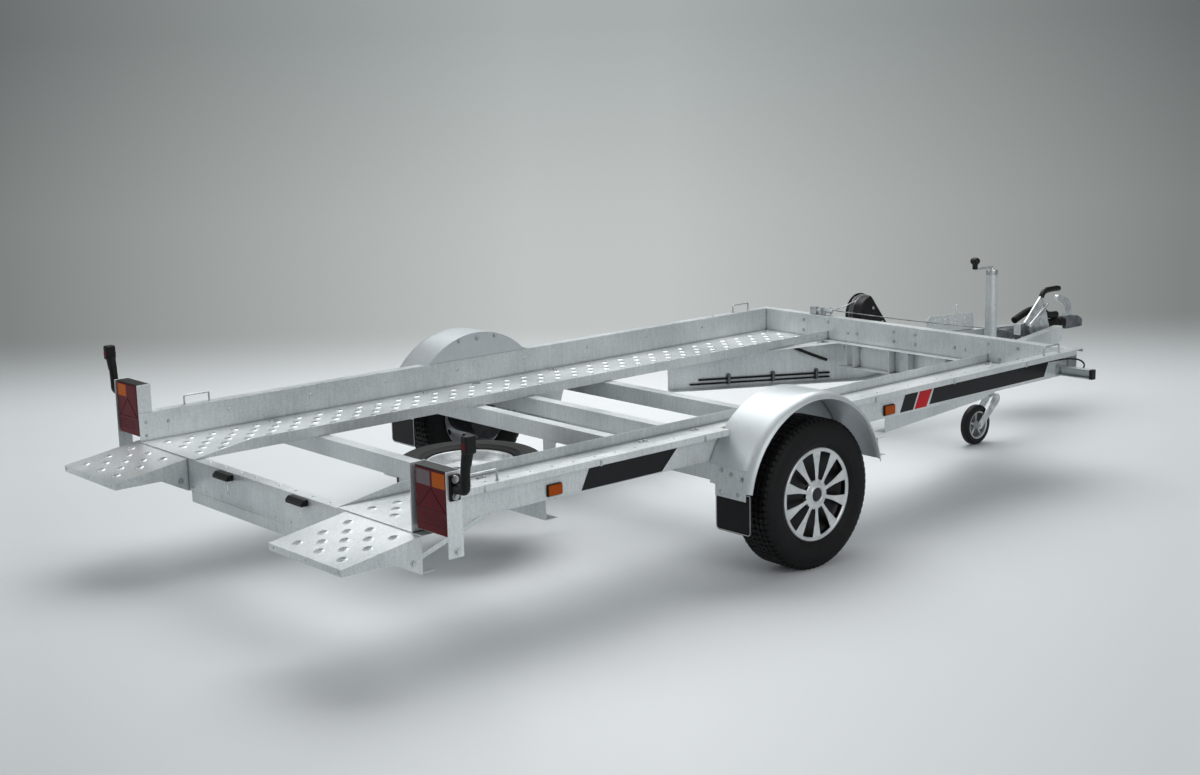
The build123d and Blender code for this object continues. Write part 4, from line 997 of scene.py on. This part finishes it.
def hook_fittings():
    """Bracket, clevis, pin and eye that hold the hook end of the winch cable on the front wall."""
    pieces = [
        soften(block((3800, 618, 600.2), (3836, 660, 640)), 2),
        soften(taper((3818, 576, 622), (3818, 618, 622), 9, 11, 20), 1),
        stud((3806, 585, 610), (3806, 585, 640), 5, 14),
        soften(block((3806, 520, 612), (3830, 578, 618)), 1.5),
        soften(block((3806, 520, 630), (3830, 578, 636)), 1.5),
        stud((3818, 528, 604), (3818, 528, 646), 5, 14),
        tube([(3818, 540, 628), (3826, 500, 634), (3828, 460, 650), (3850, 440, 662), (3900, 436, 676),
              (3958, 438, 683.5)], 3, 12),
    ]
    finish(joined(*pieces), "hook_clevis", "lever_steel")


def winch_fittings():
    """The softened hook, the wire rope down to the jockey tube's clamp, and the drilled plate."""
    finish(soften(copied("winch_hook"), 0.8), "forged_winch_hook", "galvanised_steel", replaces=["winch_hook"])
    rope = tube([(3812, 510, 632.5), (3900, 250, 612), (3990, -20, 598), (4083, -289, 588)], 2.6, 12)
    finish(rope, "winch_rope", "wire_rope", replaces=["winch_cable"])
    drilled = copied("winch_plate")
    for x in PLATE_DRILL_X:
        y = beam_y(x) - 50
        for z in (520, 542):
            carve(drilled, taper((x, y - 40, z), (x + 10, y + 40, z), 5, 5, 14))
    finish(soften(drilled, 0.8), "drilled_winch_plate", "galvanised_steel", replaces=["winch_plate"])


# Overrun device, coupling and handbrake

BELLOWS_LENGTH = 180
BELLOWS_FOLDS = 5


def bellows():
    """Five round folds over the overrun tube."""
    half = BELLOWS_LENGTH / BELLOWS_FOLDS / 2
    folds = [(25.2, 0)]
    for index in range(BELLOWS_FOLDS):
        start = index * 2 * half
        folds += [(30, start), (31, start + 4), (34.5, start + half - 3.5), (35.8, start + half),
                  (34.5, start + half + 3.5), (31, start + 2 * half - 4)]
    folds += [(30, BELLOWS_LENGTH), (25.2, BELLOWS_LENGTH)]
    finish(ring(folds, (HOUSING_FRONT, 0, COUPLING_Z), "X", 40, 60), "rubber_bellows", "black_rubber",
           replaces=["gaiter"])


def handbrake():
    """The arched rubber sleeve, the bent grip with its bands, and the spring tube under the lever."""
    rear = HOUSING_REAR
    sleeve = ((105, 518), (170, 540), (235, 556), (320, 560), (385, 532), (425, 506), (500, 505))
    finish(tube([(rear + ahead, 0, z) for ahead, z in sleeve], 19.2, 24), "arched_sleeve", "black_rubber",
           replaces=["rubber_sleeve"])
    y = -51
    grip = ((281, 630), (290, 652), (318, 664), (380, 667), (446, 664))
    grip = tube([(rear + ahead, y, z) for ahead, z in grip], 14.6, 24)
    bands = [stud((rear + ahead, y, 667), (rear + ahead + 5, y, 667), 15.2, 24) for ahead in range(330, 430, 18)]
    finish(joined(grip, *bands), "ribbed_grip", "black_plastic", replaces=["handbrake_grip"])
    y = -64
    strut = [soften(taper((4788, y, 486), (4920, y, 567), 14, 14, 28), 2, 3),
             soften(taper((4780, y, 481), (4789, y, 487), 11, 15.4, 28), 1),
             soften(taper((4918, y, 566), (4926, y, 571), 15.4, 13, 28), 1),
             smooth(taper((4920, y, 567), (4958, y, 590), 5, 5, 16), 40)]
    finish(joined(*strut), "handbrake_spring_tube", "lever_steel")


def coupling():
    """The castings and levers with rounded edges, the box at the clamp, a cable and the bolts."""
    for name, finish_name, width in (
        ("overrun_housing", "cast_grey", 7), ("coupling_head", "cast_grey", 5),
        ("coupling_handle", "lever_steel", 5), ("handbrake_lever", "lever_steel", 1.6),
    ):
        finish(soften(copied(name), width, 3), f"smooth_{name}", finish_name, replaces=[name])
    bellows()
    handbrake()
    box = joined(block((4182, -352, 530), (4300, -349, 588)), block((4182, -352, 530), (4186, -312, 588)),
                 block((4296, -352, 530), (4300, -312, 588)))
    box = carve(box, taper((4236, -360, 562), (4236, -340, 562), 9, 9, 20))
    finish(soften(box, 1), "clamp_side_box", "galvanised_steel")
    breakaway = tube([(5060, 30, 470), (5080, 60, 440), (5040, 70, 410), (4980, 60, 420), (4940, 44, 440)], 3, 12)
    finish(breakaway, "breakaway_cable", "cable_orange")
    bolts = [stud((x, side * 44.5, 425), (x, side * 52, 425), 9)
             for side in BOTH_SIDES for x in (4665, 4745, 4860, 4960)]
    bolts += [stud((x, y, 399.5), (x, y, 408), 8) for x in (4660, 4700, 4930, 4970) for y in (-62, 62)]
    finish(joined(*bolts), "coupling_bolts", "lever_steel")


# Jockey wheel

def jockey_leg():
    """The cap, crank and knob of the screw jack, and its clamp with the screws."""
    x, y = JOCKEY_X, JOCKEY_Y
    cap = [(0, 889.5), (0, 894), (20, 893.5), (29, 891), (30.2, 887.5), (30.2, 868), (28, 868), (0, 887.6)]
    cap = ring(cap, (x, y, 0), "Z", 32)
    line = ((0, 888), (0, 900), (0, 906), (-8, 907), (-40, 907), (-132, 907), (-140, 907), (-140, 910))
    crank = joined(tube([(x + along, y, z) for along, z in line], 6.6, 16),
                   smooth(taper((x, y, 893), (x, y, 901), 13, 11, 20), 50))
    finish(joined(crank, cap), "bent_crank_and_cap", "lever_steel", replaces=["jockey_crank"])
    knob = [(0, 908), (0, 966.6), (12, 965.6), (20, 961), (24.4, 953), (24.6, 946), (21, 938), (14, 931),
            (13, 924), (13.5, 912), (13, 908)]
    finish(ring(knob, (x - 140, y, 0), "Z", 32), "mushroom_knob", "black_plastic", replaces=["jockey_knob"])
    finish(soften(copied("jockey_clamp"), 3, 3), "cast_jockey_clamp", "cast_grey", replaces=["jockey_clamp"])
    screws = [stud((x - 14, y + 30, 418), (x - 14, y + 58, 418), 6, 16),
              stud((x + 14, y + 30, 444), (x + 14, y + 52, 444), 8),
              tube([(x - 46, y + 56, 412), (x - 14, y + 58, 418), (x + 22, y + 56, 426)], 4.5, 12)]
    finish(joined(*screws), "clamp_screw_and_tommy_bar", "lever_steel")


def jockey_wheel():
    """The pressed fork with its bolts, the rubber tyre, and a rim with five spokes on a thin disc."""
    x, y, z = centre = (JOCKEY_AXLE_X, JOCKEY_Y, JOCKEY_AXLE_Z)
    finish(soften(copied("jockey_fork"), 1.4), "pressed_jockey_fork", "lever_steel", "jockey_fork",
           ["jockey_fork"])
    tread = [(70, 20), (76, 21.5), (86, 22), (96, 19.5), (101, 14.5), (102.9, 8), (102.9, -8), (101, -14.5),
             (96, -19.5), (86, -22), (76, -21.5), (70, -20)]
    finish(ring(tread, centre, "Y", 56), "jockey_tyre", "black_rubber", "jockey_wheel", ["jockey_wheel"])
    rim = [(64, 18), (71, 21), (72, 19), (70.5, 16), (70.5, -16), (72, -19), (71, -21), (64, -18), (66, -14),
           (66, 14)]
    hub = [(8.4, 25), (16, 25), (18, 20), (20, 8), (20, -8), (18, -20), (16, -25), (8.4, -25)]
    spoke = soften(block((x - 5, y - 6, z + 17), (x + 5, y + 6, z + 68)), 2)
    wheel = joined(ring(rim, centre, "Y", 48), ring(hub, centre, "Y", 32), turned_copies(spoke, 5, centre, "Y"))
    finish(wheel, "jockey_spoked_rim", "rim_paint", "jockey_wheel")
    disc = [(16, 4), (66, 4), (66, -4), (16, -4)]
    finish(ring(disc, centre, "Y", 40, 40), "jockey_rim_disc", "cast_grey", "jockey_wheel")
    bolts = []
    for side in BOTH_SIDES:
        face = y + side * 33.5
        bolts.append(stud((x, face, z), (x, face + side * 7, z), 11))
        bolts.append(stud((JOCKEY_X, face, 214), (JOCKEY_X, face + side * 4, 214), 8))
    finish(joined(*bolts), "fork_bolts", "lever_steel", "jockey_fork")


# Studio and camera, the angles in degrees and the places in metres, as fitted to the photograph

VIEW_YAW = 49.01
VIEW_PITCH = -11.216
VIEW_ROLL = -1.3646
VIEW_PLACE = (-5.7575, -5.683, 2.084)
VIEW_LENS = 52.51
SENSOR_WIDTH = 36.0

# Studio sizes in metres, the camera's place in the direction of view, and the wall's tones upwards: painted light in
# the middle, painted shade at the sides
STUDIO_SIZE = 60.0
WALL_REACH = 11.5
WALL_HEIGHT = 16.0
WALL_CURVE = 3.0
CAMERA_BACK = 8.07
CAMERA_ASIDE = 0.62
WALL_MIDDLE_PAINTED_LIGHT = ((0.0, "#c0c4c3"), (0.14, "#bec2c1"), (0.9, "#a7aead"))
WALL_EDGE_PAINTED_SHADE = ((0.0, "#7f8382"), (0.14, "#7f8483"), (0.9, "#6a6d6d"))

# Name, place, aim, size and power
LIGHTS = (
    ("softbox_top", (1.5, 2.0, 6.5), (0.0, 0.0, 0.3), 7.0, 520),
    ("softbox_left", (-7.0, 3.5, 4.0), (-1.0, 0.0, 0.4), 4.0, 110),
    ("softbox_camera", (-1.0, -8.5, 3.5), (0.0, 0.0, 0.4), 5.0, 200),
)


def select_edges(sheet, wanted):
    """Edit mode with only the edges whose two ends pass a test selected."""
    take(sheet)
    bpy.ops.object.mode_set(mode="EDIT")
    bpy.ops.mesh.select_mode(type="EDGE")
    bpy.ops.mesh.select_all(action="DESELECT")
    bpy.ops.object.mode_set(mode="OBJECT")
    for edge in sheet.data.edges:
        edge.select = all(wanted(sheet.data.vertices[index].co) for index in edge.vertices)
    bpy.ops.object.mode_set(mode="EDIT")


def studio_paper(toward):
    """Pale paper on the floor, lit by the lamps and darkened by painted shade to both sides, and behind it a grey
    wall that glows with painted light.

    The wall's tone is seen only by camera, glossy and transmission rays, so it adds no light to the trailer.
    Its painted light falls off into painted shade to both sides of the middle of the view and upwards.
    """
    material, tree = new_finish("studio_paper")
    where = add_node(tree, "ShaderNodeTexCoord").outputs["Object"]
    ahead = add_node(tree, "ShaderNodeVectorMath", {"operation": "DOT_PRODUCT", 1: toward}, {0: where})
    aside = add_node(tree, "ShaderNodeVectorMath", {"operation": "DOT_PRODUCT", 1: (-toward.y, toward.x, 0)},
                     {0: where})
    aside = add_node(tree, "ShaderNodeMath", {"operation": "SUBTRACT", 1: CAMERA_ASIDE},
                     {0: aside.outputs["Value"]})
    aside = add_node(tree, "ShaderNodeMath", {"operation": "ABSOLUTE"}, {0: aside.outputs[0]})
    distance = add_node(tree, "ShaderNodeMath", {"operation": "ADD", 1: CAMERA_BACK}, {0: ahead.outputs["Value"]})
    off_axis = add_node(tree, "ShaderNodeMath", {"operation": "DIVIDE"},
                        {0: aside.outputs[0], 1: distance.outputs[0]})
    # Painted shade: the wall and the floor darken away from the middle of the view
    edge = add_node(tree, "ShaderNodeMapRange", {"From Min": 0.04, "From Max": 0.34}, {"Value": off_axis.outputs[0]})
    height = add_node(tree, "ShaderNodeSeparateXYZ", None, {"Vector": where})
    rise = add_node(tree, "ShaderNodeMapRange", {"From Min": 0.0, "From Max": 2.5}, {"Value": height.outputs["Z"]})
    painted_light_wall = add_node(tree, "ShaderNodeValToRGB", {"stops": WALL_MIDDLE_PAINTED_LIGHT}, {"Fac": rise.outputs[0]})
    painted_shade_wall = add_node(tree, "ShaderNodeValToRGB", {"stops": WALL_EDGE_PAINTED_SHADE}, {"Fac": rise.outputs[0]})
    wall = add_node(tree, "ShaderNodeMix", {"data_type": "RGBA"},
                    {"Factor": edge.outputs[0], 6: painted_light_wall.outputs[0], 7: painted_shade_wall.outputs[0]})
    # The floor paper is painted darker towards the sides, as shade on top of the lamps' light
    floor_with_painted_shade = add_node(tree, "ShaderNodeMix", {"data_type": "RGBA", 6: linear("#e0e3e5"), 7: linear("#c6cacc")},
                          {"Factor": edge.outputs[0]})
    turn = add_node(tree, "ShaderNodeMapRange",
                    {"interpolation_type": "SMOOTHSTEP", "From Min": 1.8, "From Max": 5.0},
                    {"Value": ahead.outputs["Value"]})
    paper = add_node(tree, "ShaderNodeBsdfPrincipled", {"Roughness": 0.9, "Specular IOR Level": 0.1},
                     {"Base Color": floor_with_painted_shade.outputs[2]})
    # The wall glows with its painted light and shade instead of being lit
    glowing_painted_backdrop = add_node(tree, "ShaderNodeEmission", {"Strength": 1.0}, {"Color": wall.outputs[2]})
    rays = add_node(tree, "ShaderNodeLightPath")
    seen = rays.outputs["Is Camera Ray"]
    for kind in ("Is Glossy Ray", "Is Transmission Ray"):
        seen = add_node(tree, "ShaderNodeMath", {"operation": "MAXIMUM"}, {0: seen, 1: rays.outputs[kind]}).outputs[0]
    share = add_node(tree, "ShaderNodeMath", {"operation": "MULTIPLY"}, {0: seen, 1: turn.outputs[0]})
    blend = add_node(tree, "ShaderNodeMixShader", None,
                     {0: share.outputs[0], 1: paper.outputs[0], 2: glowing_painted_backdrop.outputs[0]})
    add_node(tree, "ShaderNodeOutputMaterial", None, {"Surface": blend.outputs[0]})
    return material


def studio():
    """Seamless pale floor that curves up to a grey wall behind the trailer, and soft lights."""
    yaw = radians(VIEW_YAW)
    toward = Vector((cos(yaw), sin(yaw), 0))
    far_edge = WALL_REACH - 0.1
    bpy.ops.object.select_all(action="DESELECT")
    bpy.ops.mesh.primitive_plane_add(size=STUDIO_SIZE, location=toward * (WALL_REACH - STUDIO_SIZE / 2),
                                     rotation=(0, 0, yaw))
    floor = settle(bpy.context.object)
    select_edges(floor, lambda end: end.dot(toward) > far_edge)
    bpy.ops.mesh.extrude_region_move(TRANSFORM_OT_translate={"value": (0, 0, WALL_HEIGHT)})
    bpy.ops.object.mode_set(mode="OBJECT")
    select_edges(floor, lambda end: end.dot(toward) > far_edge and end.z < 0.1)
    bpy.ops.mesh.bevel(offset=WALL_CURVE, segments=16)
    bpy.ops.object.mode_set(mode="OBJECT")
    bpy.ops.object.shade_smooth()
    floor.name = "studio_floor"
    floor.data.materials.append(studio_paper(toward))
    for name, where, aim, size, power in LIGHTS:
        bpy.ops.object.light_add(type="AREA", location=where)
        lamp = bpy.context.object
        lamp.name = name
        lamp.data.shape = "SQUARE"
        lamp.data.size = size
        lamp.data.energy = power
        lamp.rotation_euler = (Vector(aim) - Vector(where)).to_track_quat("-Z", "Y").to_euler()
    world = bpy.data.worlds.new("studio_world")
    world.use_nodes = True
    world.node_tree.nodes["Background"].inputs["Color"].default_value = linear("#d5d9db")
    world.node_tree.nodes["Background"].inputs["Strength"].default_value = 0.45
    bpy.context.scene.world = world


def photograph_camera():
    """The camera of the photograph, turned by its yaw, pitch and roll."""
    yaw, pitch, roll = radians(VIEW_YAW), radians(VIEW_PITCH), radians(VIEW_ROLL)
    forward = Vector((cos(pitch) * cos(yaw), cos(pitch) * sin(yaw), sin(pitch)))
    level = Vector((sin(yaw), -cos(yaw), 0))
    upright = level.cross(forward)
    right = cos(roll) * level + sin(roll) * upright
    up = cos(roll) * upright - sin(roll) * level
    bpy.ops.object.camera_add()
    camera = bpy.context.object
    camera.data.sensor_fit = "HORIZONTAL"
    camera.data.sensor_width = SENSOR_WIDTH
    camera.data.lens = VIEW_LENS
    camera.data.clip_end = 200
    camera.matrix_world = Matrix.Translation(VIEW_PLACE) @ Matrix((right, up, -forward)).transposed().to_4x4()
    bpy.context.scene.camera = camera


tracks()
runup_plates()
wheels()
mudguards()
mudflaps()
tail_lamps()
fasteners(marker_arms())
side_markers()
plate_lamps()
decals()
rope_rings()
folded_beams()
drawbar_cables()
winch()
hook_fittings()
winch_fittings()
coupling()
jockey_leg()
jockey_wheel()
studio()
photograph_camera()
bpy.context.scene.view_settings.view_transform = "Standard"
